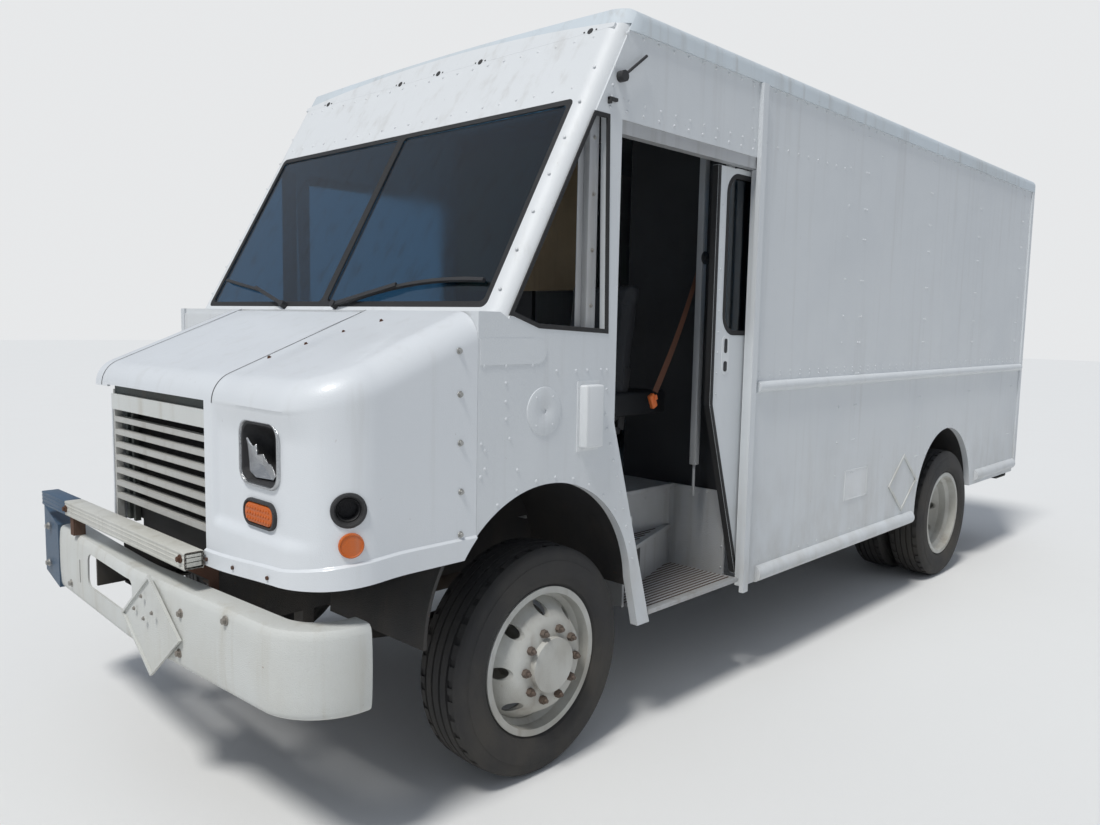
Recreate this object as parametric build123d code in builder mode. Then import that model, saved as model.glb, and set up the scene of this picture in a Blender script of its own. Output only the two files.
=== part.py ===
"""Walk-in step van on its own ladder chassis: nose, cab with two sliding doors, and a box body.

Millimetres. The nose points to -Y, the driver's side is +X, the ground is z = 0, and the origin
is under the middle of the vehicle. Stations along the body count from the pillar behind the cab
door, so post_y places the whole body.
"""
from build123d import *
import math
import os

os.makedirs("parts", exist_ok=True)

# Body shell
body_half = 1190        # outer face of the side panels
wall = 40               # side wall with its lining
post_y = -985           # pillar behind the cab doors
cab_length = 1820       # pillar forward to the joint with the nose
cargo_length = 4440     # pillar back to the rear face
nose_length = 650       # joint forward to the face of the nose
roof_edge_z = 3030      # top of the side walls
roof_crown = 90         # rise of the roof's middle above the walls
roof_sheet = 40
wall_bottom_z = 500     # lower edge of the cargo walls ahead of the rear wheels
skirt_z = 620           # lower edge behind the rear wheels
floor_z = 970
floor_sheet = 30
moving_gap = 8          # running gap round whatever slides or swings
seat_gap = 0.3          # between pieces that bear on each other
pin_gap = 0.4           # round a pin

# Raked cab front
rake = 0.554            # leans back this much for each unit of height
rake_foot = -2750       # where the raked line would meet the ground, from the pillar
front_sheet = 24
cowl_z = 1865
post_depth = 51         # rounded corner posts, square to the slope
post_arc = 52           # how far across the corner post its rounding bends in
screen_half = body_half - 90
screen_bottom_z = 1881
screen_top_z = 2709
mullion = 46
glass = 8

# Nose
nose_sheet = 14
nose_bottom_z = 985
chin_z = 925            # lowest edge of the nose under the grille
lip_z = 1522            # front lip of the hood
strip_half = 585        # outer edge of the narrow strip on the right of the hood
brow_z = 1600           # where the hood's plane would meet the nose's face
corner_radius = 230
shoulder_radius = 110
hood_half_front = 456
hood_half_rear = 520
grille_half = 450
grille_top_z = 1430
bar_count = 7
bar_pitch = 55.5
bar_height = 22

# Wheels
tyre_radius = 470
tyre_width = 254
rim_radius = 303
rim_width = 212
front_axle_y = -1400    # from the pillar
rear_axle_y = 2840
front_track_half = 1025
rear_outer_x = 1070
dual_spacing = 290
king_pin_x = 850
king_pin_radius = 25

# Wheel arches in the side walls
front_arch_y = -1450
front_arch_z = 680
front_arch_radius = 530
front_tunnel_radius = 560       # housing inside the arch, wide enough for the steered wheel
rear_arch_y = 2790
rear_arch_z = 570
rear_arch_radius = 545
housing_sheet = 14
housing_inner_x = 560

# Cab door and its opening
door_sheet = 32
door_top_z = 2585
door_header_z = 2648    # underside of the panel above the opening
header_rail_z = 2593    # underside of the extrusion that trims it
door_front = -1060      # rear edge of the front door post
door_kink_z = 1419
door_foot = -775
door_overlap = 25       # door laps over its front post when shut
door_width = 1140
door_rest = 805         # how far the driver's door stands open
door_full = 1025        # travel of either door
step_z = 550
upper_step_z = 755

# Chassis
rail_x = 430
rail_width = 75
rail_height = 230
rail_top_z = 890
rail_sheet = 10

# Derived stations
seam_y = post_y - cab_length
rear_y = post_y + cargo_length
nose_y = seam_y - nose_length

# Bumper
bumper_half = body_half - 5
bumper_face_y = nose_y - 110
bumper_bottom_z = 540
bumper_height = 300
bumper_flange = 95
bumper_sheet = 12
bumper_vee = 60         # its middle stands this far ahead of its shoulders
bumper_sweep = 330      # how far the ends come back
bumper_corner = 250
wing_joint_x = -950
wing_rise = 65          # how far the wing's outer end is bent up
wing_depth = 130
wing_corner = 60
slot_centre_x = -255
slot_centre_z = 720
slot_width = 545
slot_height = 145
slot_radius = 35

# Derived planes
inner_x = body_half - wall
rail_bottom_z = rail_top_z - rail_height
slope = math.sqrt(1 + rake * rake)
door_outer_x = inner_x - moving_gap
door_inner_x = door_outer_x - door_sheet
rear_post = 50
axle_z = tyre_radius


def rake_y(z):
    """Outer face of the raked cab front at height z."""
    return post_y + rake_foot + rake * z


def side_arch(y, z, radius):
    """Arch opening with its centre at y, z in a side view."""
    with BuildSketch(Plane.YZ) as arch:
        with Locations((post_y + y, z)):
            Circle(radius)
    return arch.sketch


# Chassis ladder: two channels open to the middle, with cross members between their webs
rail_front_y = nose_y + 40
rail_rear_y = rear_y - 60
radiator_y = nose_y + 190
# cross member: y, height
cross_members = [
    (radiator_y, 120),
    (-2100, 120),
    (-1300, 160),
    (-200, 160),
    (900, 160),
    (rear_y - 1155, 160),
    (rear_y - 155, 180),
]
with BuildPart() as chassis_frame:
    for side in (-1, 1):
        web_x = side * (rail_x - rail_sheet / 2)
        with BuildSketch(Plane.XZ.offset(-rail_rear_y)) as channel:
            with Locations((web_x, rail_top_z - rail_height / 2)):
                Rectangle(rail_sheet, rail_height)
            for z in (rail_top_z - rail_sheet / 2, rail_bottom_z + rail_sheet / 2):
                with Locations((side * (rail_x - rail_width / 2), z)):
                    Rectangle(rail_width, rail_sheet)
        extrude(amount=rail_rear_y - rail_front_y)
    for y, height in cross_members:
        with Locations((0, y, rail_top_z - rail_sheet - height / 2)):
            Box(2 * (rail_x - rail_sheet), 60, height)
    horn_sheet = 12
    horn_x = rail_x - horn_sheet / 2
    horn_front_y = bumper_face_y + bumper_vee * rail_x / bumper_half + bumper_sheet + seat_gap
    for side in (-1, 1):
        with Locations((side * horn_x, (horn_front_y + rail_front_y + 40) / 2, rail_bottom_z + 80)):
            Box(horn_sheet, rail_front_y + 40 - horn_front_y, 140)
chassis_frame.part.label = "chassis_frame"
export_step(chassis_frame.part, "parts/chassis_frame.step")

# Front axle: dropped beam with an upright eye for each king pin
beam_top_z = 430
beam_height = 80
beam_depth = 90
eye_radius = 48
eye_height = 90
with BuildPart() as front_axle:
    with BuildSketch(Plane.XZ.offset(-(post_y + front_axle_y) - beam_depth / 2)) as beam:
        with BuildLine():
            Polyline(
                (-king_pin_x, axle_z - eye_height / 2),
                (-king_pin_x, axle_z + eye_height / 2),
                (-king_pin_x + 90, axle_z + eye_height / 2),
                (-king_pin_x + 250, beam_top_z),
                (king_pin_x - 250, beam_top_z),
                (king_pin_x - 90, axle_z + eye_height / 2),
                (king_pin_x, axle_z + eye_height / 2),
                (king_pin_x, axle_z - eye_height / 2),
                (king_pin_x - 90, axle_z - eye_height / 2),
                (king_pin_x - 250, beam_top_z - beam_height),
                (-king_pin_x + 250, beam_top_z - beam_height),
                (-king_pin_x + 90, axle_z - eye_height / 2),
                close=True,
            )
        make_face()
    extrude(amount=beam_depth)
    for side in (-1, 1):
        with Locations((side * king_pin_x, post_y + front_axle_y, axle_z)):
            Cylinder(eye_radius, eye_height)
    for side in (-1, 1):
        with Locations((side * king_pin_x, post_y + front_axle_y, axle_z)):
            Cylinder(king_pin_radius + pin_gap, eye_height, mode=Mode.SUBTRACT)
front_axle.part.label = "front_axle"
export_step(front_axle.part, "parts/front_axle.step")

# Rear axle: banjo housing, tube and spindles, with the propeller shaft bolted to its nose
tube_radius = 62
spindle_radius = 42
banjo_radius = 190
drum_inner_x = 640
spindle_end_x = 990
shaft_radius = 45
shaft_front_y = post_y - 1130
rear_centre_y = post_y + rear_axle_y
with BuildPart() as rear_axle:
    with BuildSketch(Plane.YZ.offset(-drum_inner_x)) as tube:
        with Locations((rear_centre_y, axle_z)):
            Circle(tube_radius)
    extrude(amount=2 * drum_inner_x)
    with BuildSketch(Plane.YZ.offset(-spindle_end_x)) as spindle:
        with Locations((rear_centre_y, axle_z)):
            Circle(spindle_radius)
    extrude(amount=2 * spindle_end_x)
    with Locations((0, rear_centre_y, axle_z)):
        Sphere(banjo_radius)
    with BuildSketch(Plane.XZ.offset(-rear_centre_y)) as pinion:
        with Locations((0, axle_z)):
            Circle(75)
    extrude(amount=320)
    with BuildSketch(Plane.XZ.offset(-rear_centre_y + 300)) as shaft:
        with Locations((0, axle_z)):
            Circle(shaft_radius)
    extrude(amount=rear_centre_y - 300 - shaft_front_y)
    for side in (-1, 1):
        with Locations((side * rail_x, rear_centre_y, axle_z + tube_radius - 10)):
            Box(90, 130, 30)
rear_axle.part.label = "rear_axle"
export_step(rear_axle.part, "parts/rear_axle.step")

# Leaf springs: arched packs hung from the rails by an eye bracket at each end
spring_width = 70
leaf = 14
# axle station, seat height, half length, arch, number of leaves
spring_packs = [
    (front_axle_y, beam_top_z, 640, 110, 3),
    (rear_axle_y, axle_z + tube_radius + 5, 700, 60, 4),
]
spring_x = rail_x - rail_width / 2
with BuildPart() as leaf_springs:
    for station, seat_z, half_length, arch, count in spring_packs:
        for side in (-1, 1):
            for layer in range(round(count)):
                reach = half_length * (1 - 0.2 * (count - 1 - layer))
                rise = arch * (reach / half_length) ** 2
                base_z = seat_z + layer * leaf
                y = post_y + station
                with BuildSketch(Plane.YZ.offset(side * spring_x - spring_width / 2)) as strip:
                    with BuildLine():
                        ThreePointArc((y - reach, base_z + rise), (y, base_z), (y + reach, base_z + rise))
                        Line((y + reach, base_z + rise), (y + reach, base_z + rise + leaf))
                        ThreePointArc(
                            (y + reach, base_z + rise + leaf),
                            (y, base_z + leaf),
                            (y - reach, base_z + rise + leaf),
                        )
                        Line((y - reach, base_z + rise + leaf), (y - reach, base_z + rise))
                    make_face()
                extrude(amount=spring_width)
            top_z = seat_z + count * leaf + arch
            for end in (-1, 1):
                hanger_foot = top_z - leaf
                hanger_y = post_y + station + end * half_length
                with Locations((side * spring_x, hanger_y, (hanger_foot + rail_bottom_z) / 2)):
                    Box(spring_width, 50, rail_bottom_z - hanger_foot)
leaf_springs.part.label = "leaf_springs"
export_step(leaf_springs.part, "parts/leaf_springs.step")

# Engine as one block on the rails, with the radiator ahead of it
engine_width = 560
engine_length = 950
engine_height = 620
engine_bottom_z = 640
engine_front_y = seam_y - 330
radiator_depth = 70
radiator_half = 350
radiator_bottom_z = rail_top_z - rail_sheet
radiator_top_z = 1400
with BuildPart() as engine_block:
    with Locations((0, engine_front_y + engine_length / 2, engine_bottom_z + engine_height / 2)):
        Box(engine_width, engine_length, engine_height)
    for side in (-1, 1):
        mount_length = rail_x - rail_sheet - engine_width / 2
        with Locations((side * (engine_width + mount_length) / 2, engine_front_y + 500, rail_top_z - 70)):
            Box(mount_length, 120, 50)
    with Locations((0, radiator_y, (radiator_bottom_z + radiator_top_z) / 2)):
        Box(2 * radiator_half, radiator_depth, radiator_top_z - radiator_bottom_z)
cover_half = 340
cover_back_y = engine_front_y + engine_length + 90
cover_top_z = 1345
cover_sheet = 25
engine_block.part.label = "engine_block"
export_step(engine_block.part, "parts/engine_block.step")

# Fuel tank slung outside the right rail, exhaust outside the left one
tank_width = 460
tank_length = 1100
tank_height = 330
tank_y = post_y + 1050
with BuildPart() as fuel_tank:
    with BuildSketch(Plane.XZ.offset(-(tank_y + tank_length / 2))) as tank_section:
        with Locations((-(rail_x + tank_width / 2), rail_top_z - 60 - tank_height / 2)):
            RectangleRounded(tank_width, tank_height, 60)
    extrude(amount=tank_length)
fuel_tank.part.label = "fuel_tank"
export_step(fuel_tank.part, "parts/fuel_tank.step")

muffler_radius = 110
muffler_x = rail_x + muffler_radius + 40
muffler_z = rail_bottom_z - 40
muffler_front_y = post_y + 350
muffler_length = 850
pipe_radius = 32
with BuildPart() as exhaust_pipe:
    with BuildSketch(Plane.XZ.offset(-(muffler_front_y + muffler_length))) as can:
        with Locations((muffler_x, muffler_z)):
            Circle(muffler_radius)
    extrude(amount=muffler_length)
    with BuildLine() as tail_line:
        FilletPolyline(
            (muffler_x, muffler_front_y + muffler_length - 20, muffler_z),
            (muffler_x, muffler_front_y + muffler_length + 300, muffler_z),
            (body_half - 60, muffler_front_y + muffler_length + 300, muffler_z - 110),
            radius=90,
        )
    with BuildSketch(Plane.XZ.offset(-(muffler_front_y + muffler_length - 20))) as tail_section:
        with Locations((muffler_x, muffler_z)):
            Circle(pipe_radius)
    sweep(path=tail_line.line)
    with BuildLine() as front_line:
        FilletPolyline(
            (muffler_x, muffler_front_y + 20, muffler_z),
            (muffler_x, muffler_front_y - 200, muffler_z),
            (engine_width / 2 - 90, muffler_front_y - 600, rail_bottom_z - 60),
            (engine_width / 2 - 90, engine_front_y + engine_length + 200, rail_bottom_z + 20),
            (engine_width / 2 - 90, engine_front_y + engine_length + seat_gap, rail_bottom_z + 20),
            radius=90,
        )
    with BuildSketch(Plane.XZ.offset(-(muffler_front_y + 20))) as front_section:
        with Locations((muffler_x, muffler_z)):
            Circle(pipe_radius)
    sweep(path=front_line.line)
    with Locations((rail_x + 35, muffler_front_y + 425, muffler_z + 60)):
        Box(70, 40, 40)
exhaust_pipe.part.label = "exhaust_pipe"
export_step(exhaust_pipe.part, "parts/exhaust_pipe.step")

# Bumper: a pressed channel that sweeps back at its ends, its right wing a separate pressing
def bumper_band(depth):
    """Plan of the bumper, from its outer face to a given depth behind it."""
    outer_radii = [bumper_corner, 5 * bumper_half, bumper_corner]
    shoulder_y = bumper_face_y + bumper_vee
    end_y = bumper_face_y + bumper_sweep
    with BuildSketch(Plane.XY.offset(bumper_bottom_z)) as band:
        with BuildLine():
            for inset in (0, depth):
                half = bumper_half - inset
                FilletPolyline(
                    (-half, end_y),
                    (-half, shoulder_y + inset),
                    (0, bumper_face_y + inset),
                    (half, shoulder_y + inset),
                    (half, end_y),
                    radius=[radius - inset for radius in outer_radii],
                )
            for side in (-1, 1):
                Line((side * bumper_half, end_y), (side * (bumper_half - depth), end_y))
        make_face()
    return band.sketch


with BuildPart() as bumper_form:
    extrude(bumper_band(bumper_sheet), amount=bumper_height)
    extrude(bumper_band(bumper_flange), amount=bumper_sheet)
    add(extrude(bumper_band(bumper_flange), amount=bumper_sheet, mode=Mode.PRIVATE).moved(
        Location((0, 0, bumper_height - bumper_sheet))))
with BuildPart() as front_bumper:
    add(bumper_form.part)
    split(bisect_by=Plane.YZ.offset(wing_joint_x), keep=Keep.TOP)
    with BuildSketch(Plane.XZ.offset(-bumper_face_y - 200)) as slot:
        with Locations((slot_centre_x, slot_centre_z)):
            RectangleRounded(slot_width, slot_height, slot_radius)
        with Locations((wing_joint_x + 310, slot_centre_z - 35)):
            Rectangle(14, 108)
    extrude(amount=200 + 50, mode=Mode.SUBTRACT)
front_bumper.part.label = "front_bumper"
export_step(front_bumper.part, "parts/front_bumper.step")

# Bumper wing: a box pressing open behind, bent upward toward its outer end
wing_face_y = bumper_face_y - bumper_vee * wing_joint_x / bumper_half
with BuildPart() as bumper_wing:
    with BuildSketch(Plane.XZ.offset(-wing_face_y - wing_depth)) as wing_face:
        with BuildLine():
            Polyline(
                (wing_joint_x - seat_gap, bumper_bottom_z),
                (wing_joint_x - seat_gap, bumper_bottom_z + bumper_height),
                (-bumper_half, bumper_bottom_z + bumper_height + wing_rise + 20),
                (-bumper_half, bumper_bottom_z + wing_rise),
                close=True,
            )
        make_face()
    extrude(amount=wing_depth)
    fillet(bumper_wing.edges().filter_by(Axis.Z).group_by(Axis.X)[0].group_by(Axis.Y)[0], radius=wing_corner)
    wing_open = bumper_wing.faces().group_by(Axis.Y)[-1] + bumper_wing.faces().group_by(Axis.X)[-1]
    offset(amount=-bumper_sheet, openings=wing_open, kind=Kind.INTERSECTION)
bumper_wing.part.label = "bumper_wing"
export_step(bumper_wing.part, "parts/bumper_wing.step")

# Step beam over the bumper: a hanger bolted to the left horn, and a foot on the bumper's right flange
beam_left_x = 470
beam_right_x = -1060
step_beam_z = 926
step_beam_height = 64
step_beam_depth = 70
step_beam_y = nose_y - 55
bracket_width = 40
beam_foot_x = -700
bumper_top_z = bumper_bottom_z + bumper_height
with BuildPart() as step_beam:
    with BuildSketch(Plane.YZ.offset(beam_right_x)) as beam_section:
        with Locations((step_beam_y, step_beam_z + step_beam_height / 2)):
            RectangleRounded(step_beam_depth, step_beam_height, 10)
        with Locations((step_beam_y, step_beam_z + step_beam_height / 2)):
            Rectangle(step_beam_depth - 16, step_beam_height - 16, mode=Mode.SUBTRACT)
    extrude(amount=beam_left_x - beam_right_x)
    bracket_height = step_beam_z - bumper_top_z - seat_gap
    with Locations((beam_foot_x, step_beam_y, step_beam_z - bracket_height / 2)):
        Box(bracket_width, 50, bracket_height)
    with BuildSketch(Plane.YZ.offset(horn_x + horn_sheet / 2 + seat_gap)) as hanger_plate:
        with BuildLine():
            Polyline(
                (step_beam_y - 25, step_beam_z + 2),
                (step_beam_y - 25, step_beam_z + step_beam_height - 4),
                (step_beam_y + 30, step_beam_z + step_beam_height - 4),
                (nose_y + 15, step_beam_z - 4),
                (nose_y + 50, chin_z - 20),
                (nose_y + 50, rail_bottom_z + 30),
                (nose_y + 15, rail_bottom_z + 30),
                (nose_y + 15, chin_z - 60),
                close=True,
            )
        make_face()
    extrude(amount=12)
step_beam.part.label = "step_beam"
export_step(step_beam.part, "parts/step_beam.step")

# Nose: one moulding rounded at its corners and shoulders, open below and behind
with BuildPart() as nose_form:
    with BuildSketch(Plane.YZ.offset(-body_half)) as nose_profile:
        with BuildLine():
            Polyline(
                (seam_y, nose_bottom_z),
                (seam_y, cowl_z),
                (nose_y, brow_z),
                (nose_y, chin_z),
                (nose_y + 300, nose_bottom_z),
                close=True,
            )
        make_face()
    extrude(amount=2 * body_half)
    uprights = nose_form.edges().filter_by(Axis.Z).group_by(Axis.Y)[0]
    fillet(uprights, radius=corner_radius)
    top_face = nose_form.faces().filter_by(lambda face: face.normal_at().Z > 0.5).sort_by(Axis.Z)[-1]
    shoulders = top_face.edges().filter_by(lambda edge: edge.center().Y < seam_y - 1)
    fillet(shoulders, radius=shoulder_radius)
    open_faces = nose_form.faces().filter_by(
        lambda face: face.center().Y > seam_y - 1 or face.normal_at().Z < -0.5
    )
    offset(amount=-nose_sheet, openings=open_faces, kind=Kind.INTERSECTION)


def hood_z(y):
    """Height of the hood's top face at station y."""
    return cowl_z - (cowl_z - brow_z) / nose_length * (seam_y - y)


def hood_prism(shrink):
    """Everything over the hood's outline, drawn in by shrink on each edge."""
    with BuildPart() as prism:
        with BuildSketch(Plane.XY.offset(lip_z + shrink)) as outline:
            with BuildLine():
                Polyline(
                    (-hood_half_front + shrink, nose_y - 50),
                    (hood_half_front - shrink, nose_y - 50),
                    (hood_half_rear - shrink, seam_y + 50 - 9 * shrink),
                    (-hood_half_rear + shrink, seam_y + 50 - 9 * shrink),
                    close=True,
                )
            make_face()
        extrude(amount=cowl_z)
    return prism.part


# Fenders: the whole left corner of the nose and the narrow strip on the right of the hood
lamp_x = 811
headlamp_z = 1374
headlamp_width = 262
headlamp_height = 218
lamp_round = 50
signal_z = 1173
signal_width = 206
signal_height = 92
apron = 12
apron_length = 250
apron_top_z = brow_z + 60
# lower edge of the fender's front, x and z
fender_hem = [(grille_half - 20, 931), (890, 948), (1000, 964), (1100, 979), (body_half + 10, nose_bottom_z)]
with BuildPart() as fenders:
    add(nose_form.part)
    add(hood_prism(0), mode=Mode.SUBTRACT)
    with BuildSketch(Plane.XZ.offset(-nose_y - 200)) as bay:
        with Locations((0, (lip_z + chin_z - 50) / 2)):
            Rectangle(2 * grille_half, lip_z - chin_z + 50 + 2)
    extrude(amount=300, mode=Mode.SUBTRACT)
    with BuildSketch(Plane.XZ.offset(-seam_y - 50)) as gone:
        with Locations((-strip_half - body_half / 2, cowl_z)):
            Rectangle(body_half, 2 * cowl_z)
        with Locations((-body_half / 2, lip_z / 2)):
            Rectangle(body_half, lip_z)
    extrude(amount=nose_length + 100, mode=Mode.SUBTRACT)
    with BuildSketch(Plane.XZ.offset(-nose_y - 320)) as under_hem:
        with BuildLine():
            Polyline(
                *fender_hem,
                (body_half + 10, chin_z - 10),
                (grille_half - 20, chin_z - 10),
                close=True,
            )
        make_face()
    extrude(amount=320 + 10, mode=Mode.SUBTRACT)
    with BuildSketch(Plane.XZ.offset(-nose_y - 100)) as lamp_holes:
        with Locations((lamp_x, headlamp_z)):
            RectangleRounded(headlamp_width, headlamp_height, lamp_round)
        with Locations((lamp_x, signal_z)):
            RectangleRounded(signal_width, signal_height, signal_height / 2 - 1)
    extrude(amount=200, mode=Mode.SUBTRACT)
    front_cut = side_arch(front_arch_y, front_arch_z, front_arch_radius)
    extrude(front_cut, amount=1500, both=True, mode=Mode.SUBTRACT)
    for side in (-1, 1):
        with BuildSketch(Plane.YZ.offset(side * (grille_half + apron / 2) - apron / 2)) as apron_plate:
            with BuildLine():
                Polyline(
                    (nose_y + 5, fender_hem[0][1] + 2),
                    (nose_y + 5, lip_z - 10),
                    (nose_y + 20, lip_z - 10),
                    (nose_y + 70, lip_z + 58),
                    (nose_y + apron_length, apron_top_z),
                    (nose_y + apron_length, fender_hem[0][1] + 50),
                    close=True,
                )
            make_face()
        extrude(amount=apron)
    with Locations((-grille_half - 25, nose_y + apron_length - 6, apron_top_z - 45)):
        Box(50, 12, 90)
    with Locations((-grille_half - 75, nose_y + apron_length - 6, apron_top_z - 10)):
        Box(70, 12, 80)
fenders.part.label = "fenders"
export_step(fenders.part, "parts/fenders.step")

# Hood: the lid between the fenders, hinged at the cowl
hinge_y = seam_y - 16
hinge_z = cowl_z - 44
hinge_x = 380
hinge_pin_radius = 9
hinge_eye_radius = 18
hinge_eye_width = 60
with BuildPart() as hood_lid:
    add(nose_form.part)
    add(hood_prism(moving_gap), mode=Mode.INTERSECT)
    for side in (-1, 1):
        with BuildSketch(Plane.YZ.offset(side * hinge_x - hinge_eye_width / 2)) as eye:
            with Locations((hinge_y, hinge_z)):
                Circle(hinge_eye_radius)
            with BuildLine():
                Polyline(
                    (seam_y - 24, hood_z(seam_y - 24) - nose_sheet / 2),
                    (hinge_y - 90, hood_z(hinge_y - 90) - nose_sheet / 2),
                    (hinge_y - 90, hood_z(hinge_y - 90) - 2 * nose_sheet),
                    (hinge_y - 12, hinge_z - 12),
                    (hinge_y + 6, hinge_z + 12),
                    close=True,
                )
            make_face()
            with Locations((hinge_y, hinge_z)):
                Circle(hinge_pin_radius + pin_gap, mode=Mode.SUBTRACT)
        extrude(amount=hinge_eye_width)
hood_lid.part.label = "hood_lid"
export_step(hood_lid.part, "parts/hood_lid.step")

# Grille: header panel, side posts and a ladder of bars set back in the bay
grille_setback = 22
grille_depth = 30
post_width = 14
bar_top_z = 1383
header_panel_z = 1490    # top of the panel over the bars
with BuildPart() as grille:
    face_y = nose_y + grille_setback
    with BuildSketch(Plane.XZ.offset(-face_y - grille_depth)) as recess:
        with Locations((0, (grille_top_z + lip_z - 12) / 2)):
            Rectangle(2 * grille_half - 2 * seat_gap, lip_z - 12 - grille_top_z)
    extrude(amount=grille_depth / 3)
    with BuildSketch(Plane.XZ.offset(-face_y - grille_depth)) as ladder:
        with Locations((0, (grille_top_z + header_panel_z) / 2)):
            Rectangle(2 * grille_half - 2 * seat_gap, header_panel_z - grille_top_z)
        for side in (-1, 1):
            with Locations((side * (grille_half - seat_gap - post_width / 2), (chin_z + lip_z - 12) / 2)):
                Rectangle(post_width, lip_z - 12 - chin_z)
        for index in range(bar_count):
            with Locations((0, bar_top_z - index * bar_pitch)):
                Rectangle(2 * grille_half - 2 * seat_gap, bar_height)
    extrude(amount=grille_depth)
grille.part.label = "grille"
export_step(grille.part, "parts/grille.step")

# Lamps: bowls behind the holes in the fender
bowl_depth = 90
lamp_proud = 8
with BuildPart() as nose_lamps:
    with BuildSketch(Plane.XZ.offset(-nose_y - bowl_depth)) as bowl:
        with Locations((lamp_x, headlamp_z)):
            RectangleRounded(headlamp_width - 2 * seat_gap, headlamp_height - 2 * seat_gap, lamp_round)
    extrude(amount=bowl_depth + lamp_proud)
    with BuildSketch(Plane.XZ.offset(-nose_y - bowl_depth + 10)) as hollow:
        with Locations((lamp_x, headlamp_z)):
            RectangleRounded(headlamp_width - 24, headlamp_height - 24, lamp_round - 12)
    extrude(amount=bowl_depth, mode=Mode.SUBTRACT)
    with BuildSketch(Plane.XZ.offset(-nose_y - 30)) as signal:
        with Locations((lamp_x, signal_z)):
            RectangleRounded(signal_width - 1, signal_height - 1, signal_height / 2 - 2)
    extrude(amount=30 + lamp_proud)
nose_lamps.part.label = "nose_lamps"
export_step(nose_lamps.part, "parts/nose_lamps.step")

# Raked cab front: windscreen surround, header panel and cowl in one welded frame
rake_plane = Plane(origin=(0, rake_y(cowl_z), cowl_z), x_dir=(1, 0, 0), z_dir=(0, -1, rake))
foot_plane = Plane(origin=(0, rake_y(cowl_z), cowl_z), x_dir=(1, 0, 0), z_dir=(0, rake, 1))


def up_slope(z):
    """Distance along the raked plane from the cowl to height z."""
    return (z - cowl_z) * slope


screen_mid = up_slope((screen_bottom_z + screen_top_z) / 2)
screen_tall = up_slope(screen_top_z) - up_slope(screen_bottom_z)
frame_tall = up_slope(roof_edge_z)
post_start = screen_half + 5
firewall = 9.7
with BuildPart() as cab_front:
    with BuildSketch(rake_plane) as surround:
        with Locations((0, frame_tall / 2)):
            Rectangle(2 * post_start, frame_tall)
        with Locations((0, screen_mid)):
            RectangleRounded(2 * screen_half, screen_tall, 30, mode=Mode.SUBTRACT)
    extrude(amount=-front_sheet)
    for side in (-1, 1):
        with BuildSketch(foot_plane) as corner_post:
            with BuildLine():
                ThreePointArc(
                    (side * post_start, 0),
                    (side * (post_start + post_arc), post_arc * 0.3),
                    (side * (body_half - 8), post_depth),
                )
                Polyline(
                    (side * (body_half - 8), post_depth),
                    (side * (inner_x - 10), post_depth),
                    (side * (inner_x - 10), front_sheet),
                    (side * post_start, front_sheet),
                    (side * post_start, 0),
                )
            make_face()
        extrude(amount=frame_tall + post_depth)
    with Locations((0, (seam_y + rake_y(cowl_z) + 20) / 2 + 5, cowl_z - 25)):
        Box(2 * inner_x - 2, rake_y(cowl_z) + 20 - seam_y - 10, 50)
    with BuildSketch(Plane.XY.offset(roof_edge_z)) as above_frame:
        with Locations((0, post_y)):
            Rectangle(3 * body_half, 2 * (cab_length + nose_length))
    extrude(amount=200, mode=Mode.SUBTRACT)
    with BuildSketch(Plane.XZ.offset(-seam_y - 2 - firewall)) as firewall_sheet:
        with Locations((0, (floor_z + cowl_z - 25) / 2)):
            Rectangle(2 * inner_x - 2, cowl_z - 25 - floor_z)
        with Locations((0, (floor_z + cover_top_z) / 2)):
            Rectangle(2 * cover_half + 10, cover_top_z - floor_z + 2, mode=Mode.SUBTRACT)
    extrude(amount=firewall)
    for side in (-1, 1):
        with BuildSketch(Plane.YZ.offset(side * (housing_inner_x - 4))) as past_tunnel:
            with Locations((post_y + front_arch_y, front_arch_z)):
                Circle(front_tunnel_radius + housing_sheet + 2)
        extrude(amount=side * body_half, mode=Mode.SUBTRACT)
    for side in (-1, 1):
        for edge_x in (-1, 1):
            pin_x = side * hinge_x + edge_x * (hinge_eye_width / 2 + 12)
            with Locations((pin_x, hinge_y + 14, hinge_z + 1)):
                Box(20, 48, 22)
        with BuildSketch(Plane.YZ.offset(side * hinge_x - hinge_eye_width / 2 - 10)) as pin:
            with Locations((hinge_y, hinge_z)):
                Circle(hinge_pin_radius)
        extrude(amount=hinge_eye_width + 20)
cab_front.part.label = "cab_front"
export_step(cab_front.part, "parts/cab_front.step")

# Windscreen: rubber surround with a centre bar, and two panes held in it
rubber = 26
pane_back = 6
pane_round = 24
pane_width = screen_half - rubber - mullion / 2
with BuildPart() as screen_rubber:
    with BuildSketch(rake_plane) as rubber_outline:
        with Locations((0, screen_mid)):
            RectangleRounded(2 * screen_half - 2 * seat_gap, screen_tall - 2 * seat_gap, 30)
        for side in (-1, 1):
            with Locations((side * (screen_half - rubber + mullion / 2) / 2, screen_mid)):
                RectangleRounded(pane_width, screen_tall - 2 * rubber, pane_round, mode=Mode.SUBTRACT)
    extrude(amount=-front_sheet)
screen_rubber.part.label = "screen_rubber"
export_step(screen_rubber.part, "parts/screen_rubber.step")

with BuildPart() as screen_glass:
    with BuildSketch(rake_plane.offset(-pane_back)) as pane_outline:
        for side in (-1, 1):
            with Locations((side * (screen_half - rubber + mullion / 2) / 2, screen_mid)):
                RectangleRounded(
                    pane_width - 2 * seat_gap,
                    screen_tall - 2 * rubber - 2 * seat_gap,
                    pane_round,
                )
    extrude(amount=-glass)
screen_glass.part.label = "screen_glass"
export_step(screen_glass.part, "parts/screen_glass.step")

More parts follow.
